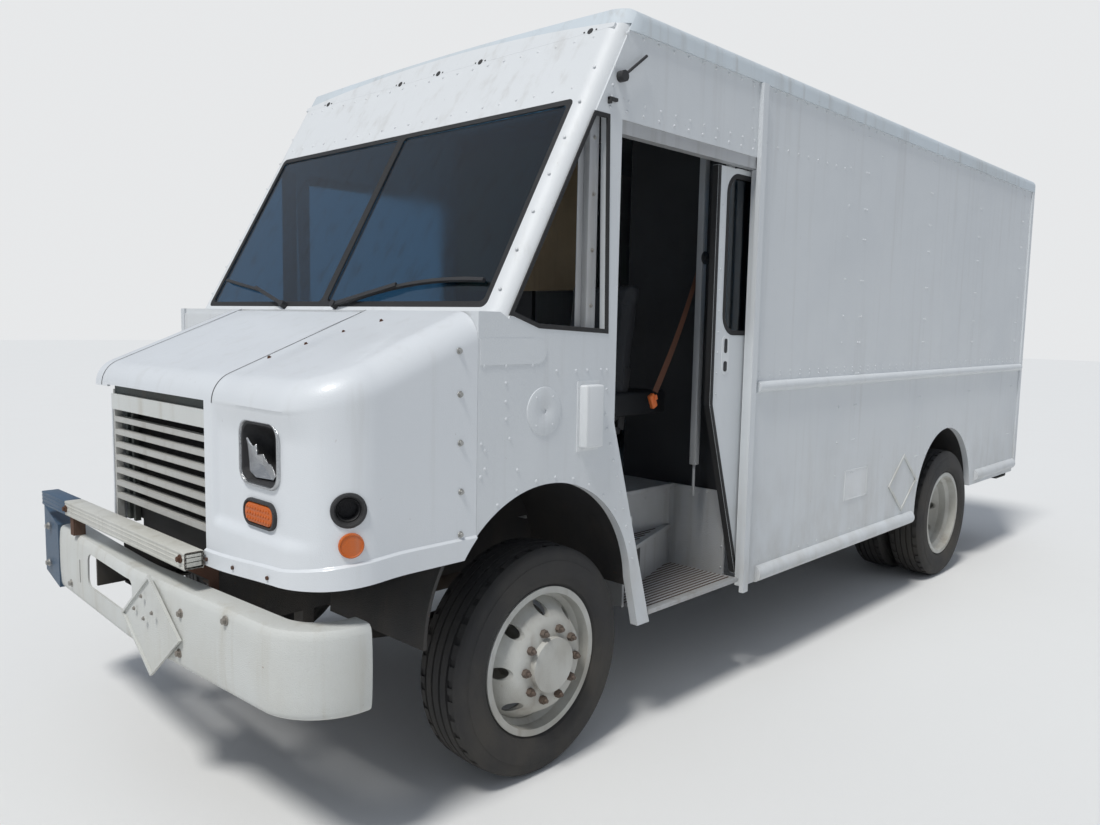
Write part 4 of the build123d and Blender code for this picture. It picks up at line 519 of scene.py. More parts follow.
def nose_shell(shape, length, hem, rear_x, columns, rows, sheet, shaped=True):
    """A closed shell over the nose's form: up the wall from a hem, over the shoulder, back to the cab."""
    wall_rows, bend_rows = int(rows * wall_share), int(rows * bend_share)
    rings = []
    for column in range(columns + 1):
        part = column / columns
        along = part * length
        place, out = nose_outline(along)
        rise = top_rise * -out.y
        full_bend = pi / 2 - atan(rise)
        reach = shoulder * tan(full_bend / 2)
        wall_top = slope_height(place.y) - reach
        low = hem(place)
        top_start = place - out * reach * cos(atan(rise))
        top_end = Vector((rear_x[0] + (rear_x[1] - rear_x[0]) * part, seam_line, 0))
        outer, inner = [], []
        for row in range(rows + 1):
            bend = min(1.0, max(0.0, (row - wall_rows) / bend_rows)) * full_bend
            normal = out * cos(bend) + Vector((0, 0, sin(bend)))
            height, fade = nose_top, 1.0
            if row <= wall_rows:
                height = low + (wall_top - low) * row / wall_rows
                if shaped:
                    height = wall_height(row, wall_rows, low, crease_height(along, low), wall_top)
                spot = place + Vector((0, 0, height))
            elif row <= wall_rows + bend_rows:
                spot = place - out * shoulder * (1 - cos(bend))
                spot.z = wall_top + shoulder * sin(bend)
            else:
                share = (row - wall_rows - bend_rows) / (rows - wall_rows - bend_rows)
                spot = top_start.lerp(top_end, share)
                spot.z = slope_height(spot.y)
                fade = 1 - soft_step(share, 0.0, 0.9)
            relief = nose_relief(along, height, low) * fade if shaped else 0
            outer.append(spot + normal * relief)
            inner.append(spot - normal * sheet)
        rings.append(outer + inner[::-1])
    rings = lofted(shape, rings, ends=0)
    for ring in (rings[0], rings[-1]):
        for row in range(rows):
            shape.faces.new((ring[row], ring[row + 1], ring[-2 - row], ring[-1 - row]))
    return [vert for ring in rings for vert in ring]


def fender_hem(place):
    """Height of the fender's lower edge, rising from the grille to the corner and the cab."""
    to_corner = soft_step(place.x, 0.45, 1.1)
    return 0.931 + 0.036 * to_corner + 0.02 * soft_step(place.y, nose_face, nose_face + 0.355)


def round_cutter(name, middle, outward, radius, depth):
    """A cylinder along a direction, used to cut a round hole."""
    shape = bmesh.new()
    cone(shape, facing(middle, outward), (radius, radius), depth, 96)
    return new_object(name, shape)


def level_way(degrees):
    """A level direction, turned by an angle from the left towards the rear."""
    return Vector((cos(radians(degrees)), sin(radians(degrees)), 0))


outline_length = front_run + nose_turn * pi / 2 + (seam_line - 0.001 - nose_face - nose_turn)
shape = bmesh.new()
nose_shell(shape, outline_length, fender_hem, (0.522, nose_side - 0.11), 130, 110, 0.032)
fender_skin = finish_mesh("fender_skin", shape, gel_white, sharp=40)
shape = bmesh.new()
strip = nose_shell(shape, 0.133, lambda place: 1.522, (0.522, 0.585), 12, 60, 0.012, shaped=False)
bmesh.ops.scale(shape, vec=(-1, 1, 1), verts=strip)
for side in (-1, 1):
    slab(shape, (side * 0.457, nose_face + 0.135, 1.215), (0.01, 0.235, 0.55))
finish_mesh("nose_strip", shape, gel_white, sharp=40)
front_arch, front_arch_radius = (-2.435, 0.68), 0.53
socket_out = level_way(-25.4)
socket_place = Vector((0.96, -3.225, 1.227)) + socket_out * 0.23
headlamp, signal = (0.821, 1.379), (0.822, 1.176)
cut_away(fender_skin, [
    slot_cutter("headlamp_cut", (headlamp[0], nose_face, headlamp[1]), (0.25, 0.2, 0.216), 0.05),
    slot_cutter("signal_cut", (signal[0], nose_face, signal[1]), (0.196, 0.2, 0.08), 0.036),
    round_cutter("arch_cut", (1.3, *front_arch), (1, 0, 0), front_arch_radius, 1.2),
    round_cutter("socket_cut", socket_place, socket_out, 0.05, 0.16),
])
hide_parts("fenders")
dress(gel_white, "hood_lid")


# Nose fixings: five screws down the fender's side, rusty bolts along its hem, small rusty screws
# beside the hood, and thin black strips along the hood's sides.
def on_side(side, x, spots):
    """Places on a wall along the vehicle from (y, z) pairs, facing outward on that side."""
    return [((side * x, y, z), (side, 0, 0)) for y, z in spots]


def skin_piece(name, material, skins, body="chassis", sharp=35.0, **ways):
    """A piece of one or more lofted skins, each a list of lines."""
    shape = bmesh.new()
    for lines in skins:
        lofted(shape, lines, **ways)
    return finish_mesh(name, shape, material, body, sharp)


fender_screws = ((-2.892, 1.727), (-2.887, 1.577), (-2.884, 1.407), (-2.879, 1.234), (-2.88, 1.082))
bolt_heads("fender_screws", on_side(1, nose_side + 0.002, fender_screws), 0.008, bolt_zinc, sides=12)
hem_bolts = ((0.672, 0.966), (0.91, 0.981), (0.475, 0.956))
bolt_heads("hem_bolts", on_end(nose_face - 0.007, hem_bolts), 0.0075, rust_iron, sides=10)
hood_normal = Vector((0, -top_rise, 1)).normalized()
hood_screws = [((x, y, slope_height(y) + 0.001), hood_normal)
               for x, y in ((0.552, -3.252), (0.6, -3.13), (0.672, -3.015), (0.76, -2.908))]
bolt_heads("hood_screws", hood_screws, 0.0055, rust_iron, sides=10)
seal_bend = shoulder + 0.0009
seal_turns = [0.1183 * step for step in range(11)]
seal_line = [(nose_face + shoulder - seal_bend * cos(turn), 1.526 + seal_bend * sin(turn))
             for turn in seal_turns]
seal_line += [(nose_face + run, slope_height(nose_face + run) + 0.001)
              for run in (0.08 + 0.057 * step for step in range(11))]
seal_edges = (0.5118, 0.5145, 0.5172)
skin_piece("hood_seal", frame_black, [
    [[(side * x, y, z) for x in seal_edges] for y, z in seal_line] for side in (-1, 1)], ring=False)

# Lamps: a broken headlamp, its shard in a black bowl inside a chromed bezel, an amber signal with
# rows of bumps in a black gasket, an empty corner grommet with a round amber reflector under it,
# and stepped red lenses at the rear.
lens_amber = weathered(
    "lens_amber", (0.6, 0.12, 0.004), patch=(0.4, (0.45, 0.09, 0.004)), speck=(0.3, (0.1, 0.05, 0.02)),
    rough=0.35, coat=0.2, grain=0.3, wave=0.0)
lens_red = weathered(
    "lens_red", (0.6, 0.03, 0.02), patch=(0.4, (0.3, 0.015, 0.012)), speck=(0.3, (0.1, 0.02, 0.02)),
    rough=0.22, coat=0.7, grain=0.3, wave=0.0)
worn_chrome = weathered(
    "worn_chrome", (0.55, 0.56, 0.57), patch=(0.5, (0.3, 0.3, 0.3)), streak=(0.3, (0.2, 0.19, 0.17)),
    speck=(0.6, (0.15, 0.1, 0.07)), rough=0.18, metal=0.9, grain=0.3, wave=0.0)
black_plastic = weathered(
    "black_plastic", (0.022, 0.022, 0.024), patch=(0.5, (0.045, 0.045, 0.045)),
    streak=(0.2, (0.06, 0.06, 0.055)), speck=(0.2, (0.08, 0.08, 0.07)), rough=0.5, grain=0.6, wave=0.0)
lamp_face = nose_face + 0.019


def rounded_loop(middle, size, radius, y, grow=0.0, ease=2):
    """Points round a rounded rectangle that stands across the vehicle, grown by a width."""
    radius += grow / ease
    half_wide, half_tall = ((length + grow) / 2 - radius for length in size)
    points = []
    for corner, (sign_x, sign_z) in enumerate(((1, 1), (-1, 1), (-1, -1), (1, -1))):
        for step in range(9):
            angle = pi / 2 * (corner + step / 8)
            points.append(Vector((middle[0] + sign_x * half_wide + cos(angle) * radius, y,
                                  middle[1] + sign_z * half_tall + sin(angle) * radius)))
    return points


def lamp_lines(middle, size, radius, steps, ease=2):
    """A lamp's outlines, each grown by a width and standing behind the lamp panel's face."""
    return [rounded_loop(middle, size, radius, lamp_face + back, grow, ease) for grow, back in steps]


bezel = skin_piece("headlamp_bezel", worn_chrome, [lamp_lines(headlamp, (0.262, 0.228), 0.058, (
    (0.0, 0.004), (0.0, -0.006), (-0.006, -0.011), (-0.018, -0.011), (-0.024, -0.004),
    (-0.026, 0.012)))], ends=0)
skin_piece("headlamp_bowl", black_plastic, [lamp_lines(headlamp, (0.236, 0.202), 0.048, (
    (0.012, -0.002), (0.0, -0.006), (-0.012, -0.004), (-0.02, 0.01), (-0.05, 0.045), (-0.1, 0.07),
    (-0.13, 0.074)), ease=3)])
shard = [(-0.098, 0.045), (-0.076, 0.012), (-0.05, 0.025), (-0.032, -0.008), (0.0, -0.002), (0.03, -0.035),
         (0.062, -0.03), (0.085, -0.066), (0.06, -0.083), (-0.04, -0.086), (-0.088, -0.07), (-0.1, -0.03)]
shape = bmesh.new()
shard_middle = shape.verts.new((0.797, lamp_face + 0.026, 1.335))
ring = [shape.verts.new((headlamp[0] + x, lamp_face + 0.006 + 0.004 * (index % 3), headlamp[1] + z))
        for index, (x, z) in enumerate(shard)]
for first, second in zip(ring, ring[1:] + ring[:1]):
    shape.faces.new((first, second, shard_middle))
bmesh.ops.subdivide_edges(shape, edges=shape.edges[:], cuts=2, use_grid_fill=True)
bmesh.ops.solidify(shape, geom=shape.faces[:], thickness=0.002)
finish_mesh("headlamp_shard", shape, worn_chrome, sharp=20)
skin_piece("signal_gasket", black_plastic, [lamp_lines(signal, (0.208, 0.094), 0.044, (
    (0.0, 0.004), (0.0, -0.008), (-0.006, -0.013), (-0.018, -0.013), (-0.024, -0.006),
    (-0.026, 0.012)))], ends=0)
shape = bmesh.new()
lofted(shape, lamp_lines(signal, (0.184, 0.07), 0.034, (
    (0.0, 0.004), (0.0, -0.006), (-0.006, -0.012), (-0.016, -0.014))))
flatten = Matrix.Diagonal((1, 0.5, 1, 1))
for index in range(3):
    for step in range(9):
        bump = Matrix.Translation((0.752 + step * 0.0175, lamp_face - 0.0145, 1.157 + index * 0.019))
        bmesh.ops.create_icosphere(shape, subdivisions=1, radius=0.0068, matrix=bump @ flatten)
finish_mesh("signal_lens", shape, lens_amber, sharp=25)
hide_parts("nose_lamps")


def turned_profile(name, middle, outward, profile, material, segments=40):
    """A round piece turned from radius and height pairs about a direction through a point."""
    shape = bmesh.new()
    stand = facing(middle, outward)
    spin_line(shape, [stand @ Vector((radius, 0, height)) for radius, height in profile], Vector(middle),
              Vector(outward), segments)
    finish_mesh(name, shape, material)


turned_profile("corner_grommet", socket_place, socket_out, [
    (0.001, -0.05), (0.032, -0.05), (0.034, -0.012), (0.037, -0.008), (0.039, -0.012), (0.0405, -0.004),
    (0.044, 0.004), (0.048, 0.007), (0.054, 0.006), (0.0575, 0.002), (0.058, -0.006), (0.05, -0.008),
    (0.047, -0.055)], black_plastic)
reflector_out = level_way(-23.6)
reflector_place = Vector((0.96, -3.225, 1.114)) + reflector_out * 0.231
turned_profile("corner_reflector", reflector_place, reflector_out, [
    (0.0005, 0.006), (0.034, 0.006), (0.0365, 0.009), (0.0395, 0.008), (0.041, 0.004), (0.041, -0.006)],
    lens_amber)
tail_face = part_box("tail_lamps")[1].y - 0.012
tail_spots = [(side * 1.143, tail_face, z) for side in (-1, 1) for z in (0.78, 0.895)]
for index, spot in enumerate(tail_spots):
    turned_profile(f"tail_lens_{index}", spot, (0, 1, 0), [
        (0.0005, 0.014), (0.02, 0.0135), (0.022, 0.0115), (0.036, 0.011), (0.038, 0.009), (0.047, 0.007),
        (0.05, 0.001), (0.0505, -0.012)], lens_red)
dress(black_plastic, "tail_lamps")

# Body shell: riveted aluminium sheet, white paint gone chalky, streaked downward and dirty low down.
# The raked front is a little whiter than the walls and doors, and the roof a little darker and bluer.
body_white = weathered(
    "body_white", (0.66, 0.685, 0.7), patch=(0.3, (0.56, 0.59, 0.62)), streak=(0.2, (0.42, 0.41, 0.39)),
    speck=(0.3, (0.2, 0.13, 0.08)), low=(0.4, (0.36, 0.33, 0.28)), rough=0.42, wave=0.12, grain=0.08)
front_white = weathered(
    "front_white", (0.72, 0.74, 0.75), patch=(0.3, (0.6, 0.62, 0.63)), streak=(0.3, (0.42, 0.4, 0.36)),
    speck=(0.3, (0.2, 0.13, 0.08)), low=(0.3, (0.4, 0.37, 0.32)), rough=0.4, wave=0.06, grain=0.08)
roof_white = weathered(
    "roof_white", (0.6, 0.66, 0.7), patch=(0.5, (0.5, 0.53, 0.54)), streak=(0.4, (0.33, 0.31, 0.28)),
    speck=(0.35, (0.16, 0.12, 0.08)), low=(0.0, (0.3, 0.3, 0.3)), rough=0.5, wave=0.12, grain=0.1)
dress(body_white, "cab_sides", "cargo_sides", "side_door_left", "side_door_right", "rear_door_left",
      "rear_door_right", "rear_frame", "body_trim")
dress(front_white, "cab_front")
dress(roof_white, "roof")


# Rivets: low domed heads in single and double columns on the walls, in rows over the cab doors
# and round the raked front. The same pattern runs down both sides of the body.
def rivet_row(start, z, count, pitch=0.107):
    """Level row of places at an even pitch from a start."""
    return [(start + pitch * step, z) for step in range(count)]


def circle_spots(middle, radius, turns):
    """Places round a middle at angles in degrees."""
    return [(middle[0] + radius * cos(turn), middle[1] + radius * sin(turn))
            for turn in map(radians, turns)]


def domes(name, spots, radius, material, body="chassis"):
    """Low domed heads at places, each along its own outward direction."""
    heads = bmesh.new()
    for place, outward in spots:
        stand = facing(place, outward)
        foot = stand @ Matrix.Translation((0, 0, radius * 0.17))
        crown = stand @ Matrix.Translation((0, 0, radius * 0.47))
        cone(heads, foot, (radius, radius * 0.8), radius * 0.35, 8, capped=False)
        cone(heads, crown, (radius * 0.8, radius * 0.3), radius * 0.25, 8)
    finish_mesh(name, heads, material, body, sharp=60)


wall_x = 1.19
rear_arch, rear_arch_radius = (1.805, 0.57), 0.545
arch_clear = 1.18
column_heights = (2.94, 2.736, 2.526, 2.351, 2.11, 1.9, 1.745, 1.56, 1.369, 1.16, 0.96)
wall_spots = [(0.012, z) for z in column_heights]
for column_y in (0.235, 1.235, 2.2, 3.23):
    wall_spots += [(column_y + shift, z) for shift in (-0.014, 0.014) for z in column_heights
                   if z > arch_clear or abs(column_y - rear_arch[0]) > rear_arch_radius]
wall_spots += rivet_row(-0.92, 2.724, 9) + rivet_row(-2.114, 2.723, 11, 0.1077)
wall_spots += rivet_row(-2.124, 2.681, 11, 0.1077) + rivet_row(-2.03, 2.985, 50)
wall_spots += [(-1.06, z) for z in (2.978, 2.871, 2.775)] + [(0.423, 2.857), (-2.1, 2.841), (-2.11, 2.768)]
wall_spots += [(-2.777, 1.673), (-2.671, 1.672), (-2.534, 1.672), (-2.401, 1.645), (-2.29, 1.643),
               (-2.223, 1.644), (-2.139, 1.644), (-2.102, 1.641), (-2.669, 1.608), (-2.668, 1.54),
               (-2.666, 1.476), (-2.646, 1.403), (-2.604, 1.282), (-2.786, 1.394), (-2.768, 1.369),
               (-2.767, 1.302), (-2.788, 1.276)]
wall_spots += [(-2.1, 1.562), (-2.101, 1.459), (-2.092, 1.398), (-2.068, 1.332), (-2.045, 1.262),
               (-2.017, 1.193), (-1.992, 1.12), (-1.968, 1.045), (-1.945, 0.966), (-1.92, 0.89),
               (-1.898, 0.815)]
wall_spots += circle_spots(front_arch, front_arch_radius + 0.022, range(42, 122, 11))
wall_spots += circle_spots(rear_arch, rear_arch_radius + 0.022, range(15, 170, 11))
rail_spots = [(y, height) for y, z in rivet_row(-0.9, 1.578, 40) for height in (z, z + 0.022)]
rail_spots += rivet_row(-0.82, 0.606, 18) + rivet_row(2.5, 0.742, 9)
for side, side_name in sides:
    domes("wall_rivets_" + side_name, on_side(side, wall_x, wall_spots), 0.0075, body_white)
    domes("rail_rivets_" + side_name, on_side(side, wall_x, rail_spots), 0.0055, body_white)
front_rake, rake_foot = 0.554, -3.735


def on_slope(x, height, proud=0.0):
    """Point on the raked front at a height, lifted square off it by proud."""
    reach = hypot(1, front_rake)
    return (x, rake_foot + front_rake * height - proud / reach, height + proud * front_rake / reach)


slope_out = Vector((0, -1, front_rake)).normalized()
header_spots = [(on_slope(-1.06 + 0.106 * step, z), slope_out) for step in range(21) for z in (2.76, 2.985)]
header_spots += [(on_slope(side * 1.135, 1.95 + 0.148 * step), slope_out)
                 for side in (-1, 1) for step in range(7)]
domes("front_rivets", header_spots, 0.0075, front_white)

# Glass: laminated windscreen panes and toughened door panes, dark and reflecting the sky, with dust
# lying on them unevenly, and the rubber that the windscreen is set in.
glass_dark = bpy.data.materials.new("glass_dark")
glass_dark.use_nodes = True
glass_tree = glass_dark.node_tree
glass_shader = glass_tree.nodes["Principled BSDF"]
glass_shader.inputs["Transmission Weight"].default_value = 1.0
glass_shader.inputs["IOR"].default_value = 1.5
glass_wear = put(glass_tree, "ShaderNodeGroup", node_tree=weather)
glass_tint = put(glass_tree, "ShaderNodeMix", {"A": (0.045, 0.14, 0.24, 1), "B": (0.035, 0.09, 0.15, 1)},
                 data_type="RGBA")
glass_rough = put(glass_tree, "ShaderNodeMapRange", {"To Min": 0.02, "To Max": 0.14})
glass_tree.links.new(glass_wear.outputs["Streaks"], glass_tint.inputs["Factor"])
glass_tree.links.new(glass_tint.outputs["Result"], glass_shader.inputs["Base Color"])
glass_tree.links.new(glass_wear.outputs["Patches"], glass_rough.inputs["Value"])
glass_tree.links.new(glass_rough.outputs["Result"], glass_shader.inputs["Roughness"])
dress(glass_dark, "screen_glass", "side_door_glass_left", "side_door_glass_right")
rubber_seal = weathered(
    "rubber_seal", (0.012, 0.012, 0.013), patch=(0.5, (0.03, 0.03, 0.03)), streak=(0.3, (0.05, 0.05, 0.045)),
    speck=(0.1, (0.1, 0.1, 0.09)), low=(0.2, (0.08, 0.07, 0.06)), rough=0.55, grain=0.4, wave=0.0)
dress(rubber_seal, "screen_rubber")

# Small black fittings: wipers, antenna, dashboard and steering wheel of grained plastic gone grey
# in patches. The bulkhead and the engine cover inside are a dull black, made darker still as painted
# shade for the dim cab.
dress(black_plastic, "wipers", "antenna", "dashboard", "steering_wheel")
# The cab's black is darker than black paint: painted shade for the dim inside of the cab.
cab_black_and_shade = weathered(
    "cab_black_and_shade", (0.012, 0.013, 0.016), patch=(0.5, (0.02, 0.02, 0.022)), streak=(0.3, (0.028, 0.026, 0.024)),
    speck=(0.4, (0.05, 0.04, 0.03)), low=(0.4, (0.04, 0.035, 0.03)), rough=0.6, grain=0.5)
dress(cab_black_and_shade, "bulkhead", "engine_cover")

# Bare and painted metal: floor, door tracks and step wells are bare aluminium gone dull, the wheel
# housings black like the chassis, the placard holders white like the bumper.
mill_alloy = weathered(
    "mill_alloy", (0.5, 0.51, 0.52), patch=(0.55, (0.36, 0.36, 0.35)), streak=(0.4, (0.24, 0.22, 0.19)),
    speck=(0.4, (0.14, 0.11, 0.08)), low=(0.3, (0.34, 0.31, 0.26)), rough=0.4, metal=0.45, grain=0.3)
dress(mill_alloy, "floor", "door_tracks", "step_wells")
dress(frame_black, "wheel_housings")
dress(bumper_white, "placard_frames")

# Grille: grey-brown painted louvre bars between posts, with a white header panel over them and
# the radiator with its fins, tanks and crossmember standing close behind. A dark green-grey band
# under the hood's lip is painted shadow of the lip on the header, and the crossmember's dark slab
# stands in as painted shade low behind the grille.
bar_grey = weathered(
    "bar_grey", (0.5, 0.5, 0.475), patch=(0.55, (0.36, 0.35, 0.32)), streak=(0.3, (0.24, 0.21, 0.17)),
    speck=(0.6, (0.18, 0.1, 0.06)), rough=0.42, grain=0.2)
# This dark green-grey colours the posts and also the band under the hood's lip, where it is painted shadow.
post_grey_and_shade = weathered(
    "post_grey_and_shade", (0.05, 0.065, 0.062), patch=(0.6, (0.09, 0.07, 0.05)), streak=(0.4, (0.11, 0.08, 0.06)),
    speck=(0.5, (0.16, 0.08, 0.04)), rough=0.6, grain=0.4)
dress(bar_grey, "grille")
core_y, core_z = -3.352, 1.24
fin_start, fin_pitch, fin_count = -0.365, 0.0098, 76
core = [((fin_start + fin_pitch * index, core_y, core_z), (0.0022, 0.03, 0.5)) for index in range(fin_count)]
core += [((0, core_y, z), (0.78, 0.05, 0.05)) for z in (0.985, 1.495)]
core += [((0, -3.35, 1.045 + 0.078 * index), (0.74, 0.014, 0.008)) for index in range(6)]
core += [((side * 0.387, core_y, core_z), (0.03, 0.05, 0.56)) for side in (-1, 1)]
# The low crossmember slab, in chassis black, is painted shade low behind the grille.
core += [((0, -3.332, core_z), (0.78, 0.006, 0.56)), ((0, -3.325, 0.885), (0.8, 0.03, 0.17)),
         ((0, -3.345, 0.965), (0.8, 0.06, 0.012))]
block_piece("radiator_core", frame_black, core)
block_piece("grille_header_face", bumper_white, [
    ((0, -3.441, 1.4575), (0.884, 0.004, 0.062)), ((0, -3.432, 1.49), (0.884, 0.02, 0.004))])
# The wide band at the top is painted shadow of the hood's lip on the header; the two narrow posts are grey.
block_piece("grille_posts_and_shade_band", post_grey_and_shade, [
    ((0, -3.425, 1.514), (0.886, 0.006, 0.042)), ((-0.395, -3.392, 1.2), (0.03, 0.022, 0.5)),
    ((-0.33, -3.392, 1.2), (0.022, 0.022, 0.5))])

# Crown ends: sheets that close the roof's two ends under its crown, flush with the raked front
# and with the rear frame.
crown_half, crown_low, crown_edge, crown_rise = 1.15, 3.012, 3.029, 0.075
crown_columns, crown_sheet = 48, (0.0005, -0.012)
crown_rear = min(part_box("rear_frame")[1].y, 3.453) - 0.004
shape = bmesh.new()
for at_front in (True, False):
    rings = []
    for column in range(crown_columns + 1):
        x = crown_half * (2 * column / crown_columns - 1)
        crown_z = crown_edge + crown_rise * (1 - (x / crown_half) ** 2)
        outer, inner = crown_sheet
        ring = ((crown_low, outer), (crown_z, outer), (crown_z, inner), (crown_low, inner))
        rings.append([on_slope(x, z, depth) if at_front else (x, crown_rear + depth, z) for z, depth in ring])
    lofted(shape, rings, ends=2)
finish_mesh("crown_ends", shape, front_white)

# Marker lamp holes: five lamps are gone from the front of the roof. Each hole, with its two screw
# holes, is a thin dark disc on the sheet, painted shade standing in for the shadow inside it.
shape = bmesh.new()
for x in (-0.921, -0.257, 0.046, 0.351, 1.023):
    for shift, radius in ((0, 0.014), (-0.033, 0.004), (0.033, 0.004)):
        cone(shape, facing(on_slope(x + shift, 3.018, 0.001), slope_out), (radius, radius), 0.003, 20)
finish_mesh("marker_holes", shape, frame_black)

# Cab side fittings: a round cover plate, a narrow closed box, the strengthening plate under the
# quarter window, that window's rubber with the bare post behind it, and a small black clip above.
cover = (-2.467, 1.494)
plate_edge = ((-2.797, 1.675), (-2.505, 1.675), (-2.478, 1.684), (-2.462, 1.705), (-2.462, 1.742),
              (-2.478, 1.762), (-2.505, 1.771), (-2.797, 1.771))
rubber_steps = ((1.1885, 0.008), (1.1925, 0.007), (1.1935, 0.0), (1.1925, -0.009), (1.186, -0.011))
window = [(-2.13, 2.647), (-2.107, 1.797), (-2.501, 1.815), (-2.635, 1.858), (-2.647, 1.859), (-2.21, 2.646)]


def window_ring(side, x, grow):
    """The quarter window's outline at a place across, its sides moved out by a width."""
    ring = []
    for before, corner, after in zip(window[-1:] + window, window, window[1:] + window[:1]):
        first = (Vector(corner) - Vector(before)).normalized()
        second = (Vector(after) - Vector(corner)).normalized()
        bisect = Vector((first.y + second.y, -first.x - second.x))
        bisect /= max(0.35, bisect.length_squared / 2)
        ring.append((side * x, corner[0] - bisect.x * grow, corner[1] - bisect.y * grow))
    return ring


for side, side_name in sides:
    turned_profile("round_cover_" + side_name, (side * wall_x, *cover), (side, 0, 0), [
        (0.009, -0.004), (0.0095, 0.0035), (0.011, 0.0045), (0.088, 0.0045), (0.0925, 0.003), (0.0935, 0.0)],
        body_white, segments=64)
    cover_spots = circle_spots(cover, 0.07, (50, 130, 230, 310))
    domes("cover_rivets_" + side_name, on_side(side, wall_x + 0.0045, cover_spots), 0.005, body_white)
    block_piece("side_box_" + side_name, front_white, [
        ((side * 1.2115, -2.215, 1.46), (0.043, 0.108, 0.252))], 0.009, 4,
        sharp_slabs=[((side * 1.1915, -2.215, 1.46), (0.003, 0.13, 0.282))])
    skin_piece("corner_plate_" + side_name, body_white, [
        [[(side * x, y, z) for y, z in plate_edge] for x in (1.1905, 1.193)]], ends=2)
    skin_piece("window_rubber_" + side_name, rubber_seal, [
        [window_ring(side, x, grow) for x, grow in rubber_steps]], ends=0)
    block_piece("window_post_" + side_name, mill_alloy, [
        ((side * 1.143, -2.175, 2.225), (0.03, 0.055, 0.85)),
        ((side * 1.126, -2.19, 2.225), (0.004, 0.09, 0.85))], 0.002)
    post_spots = [(-2.175, 1.9 + 0.22 * step) for step in range(4)]
    bolt_heads("post_screws_" + side_name, on_side(side, 1.159, post_spots), 0.006, bolt_zinc, sides=12)
    block_piece("roof_clip_" + side_name, black_plastic, [
        ((side * 1.197, -2.115, 2.712), (0.014, 0.05, 0.014)),
        ((side * 1.197, -2.134, 2.704), (0.016, 0.012, 0.024))], 0.002)


# Sliding doors: rubber down the leading edge, a rubber ring in a low white frame round each window,
# a white grip plate with its black pull and lock, and two columns of rivets.
def side_lines(side, middle, size, radius, steps):
    """Rounded outlines on a side wall, each at its own place across and grown by a width."""
    loops = [rounded_loop(middle, size, radius, x, grow) for x, grow in steps]
    return [[(side * point.y, point.x, point.z) for point in loop] for loop in loops]


ring_steps = ((1.1415, 0.024), (1.144, 0.02), (1.1445, -0.012), (1.143, -0.024), (1.109, -0.024),
              (1.107, -0.012), (1.107, 0.02), (1.1105, 0.024))
frame_steps = [(x - 0.0015, grow + 0.052) for x, grow in ring_steps[:4]]
grip_steps = ((1.1415, 0.0), (1.1435, 0.0), (1.1445, -0.004), (1.144, -0.01))
pull_steps = ((1.1435, 0.0), (1.1455, 0.0), (1.1465, -0.005))
for (side, side_name), front in zip(sides, (-1.265, -1.045)):
    body = "side_door_" + side_name
    edge_line = ((front, 2.583), (front, 1.448), (front + 0.29, 0.562))
    edge_slabs = []
    for (start_y, start_z), (end_y, end_z) in zip(edge_line, edge_line[1:]):
        long = hypot(end_y - start_y, end_z - start_z)
        lean = Matrix.Rotation(atan2(end_y - start_y, start_z - end_z), 3, "X")
        y, z = (start_y + end_y) / 2, (start_z + end_z) / 2
        edge_slabs += [((side * 1.126, y + 0.0005, z), (0.03, 0.008, long), lean),
                       ((side * 1.1435, y + 0.011, z), (0.003, 0.02, long), lean)]
    block_piece("door_edge_rubber_" + side_name, rubber_seal, edge_slabs, body=body)
    for name, steps, material in (("window_ring", ring_steps, rubber_seal),
                                  ("window_frame", frame_steps, body_white)):
        lines = side_lines(side, (front + 0.4035, 2.1735), (0.623, 0.757), 0.09, steps)
        skin_piece(f"{name}_{side_name}", material, [lines], body, ends=0)
    grip_y, grip_z = front + 0.118, 1.687
    grip_lines = side_lines(side, (grip_y, grip_z), (0.064, 0.19), 0.03, grip_steps)
    skin_piece("grip_plate_" + side_name, front_white, [grip_lines], body)
    pull_skins = [side_lines(side, (grip_y, grip_z + drop), size, 0.011, pull_steps)
                  for size, drop in (((0.026, 0.07), 0.045), ((0.03, 0.05), -0.055))]
    skin_piece("grip_pull_" + side_name, black_plastic, pull_skins, body)
    door_spots = [(front + 0.05, 1.5 + 0.1 * step) for step in range(10)]
    door_spots += [(front + 1.1, 0.66 + 0.16 * step) for step in range(12)]
    domes("door_rivets_" + side_name, on_side(side, 1.142, door_spots), 0.006, body_white, body)

# Cab inside: a plywood board on the bulkhead, the belt post with its webbing and orange buckle,
# and the ledge beside the seat.
ply_board = weathered(
    "ply_board", (0.22, 0.15, 0.07), patch=(0.6, (0.14, 0.095, 0.05)), streak=(0.6, (0.1, 0.07, 0.04)),
    speck=(0.5, (0.07, 0.04, 0.02)), rough=0.6, grain=0.8)
belt_web = weathered(
    "belt_web", (0.11, 0.042, 0.022), patch=(0.5, (0.08, 0.035, 0.02)), streak=(0.4, (0.05, 0.03, 0.02)),
    speck=(0.2, (0.05, 0.03, 0.02)), rough=0.8, grain=2.5, wave=0.0)
buckle_orange = weathered(
    "buckle_orange", (0.75, 0.16, 0.03), patch=(0.4, (0.5, 0.1, 0.02)), speck=(0.3, (0.12, 0.05, 0.03)),
    rough=0.4, grain=0.3, wave=0.0)
block_piece("ply_board", ply_board, [
    ((-0.77, -0.972, 2.47), (0.6, 0.013, 0.9)), ((-0.168, -0.972, 2.47), (0.596, 0.013, 0.9))], 0.002)
block_piece("belt_post", mill_alloy, [
    ((1.0, -1.17, 2.03), (0.036, 0.036, 1.8)), ((1.0, -1.17, 1.06), (0.012, 0.012, 0.18))], 0.003)
belt_top, belt_end = Vector((0.965, -1.12, 2.156)), Vector((0.95, -1.449, 1.506))
belt_steps, belt_twist, belt_half = 30, 0.5, 0.015
webbing = []
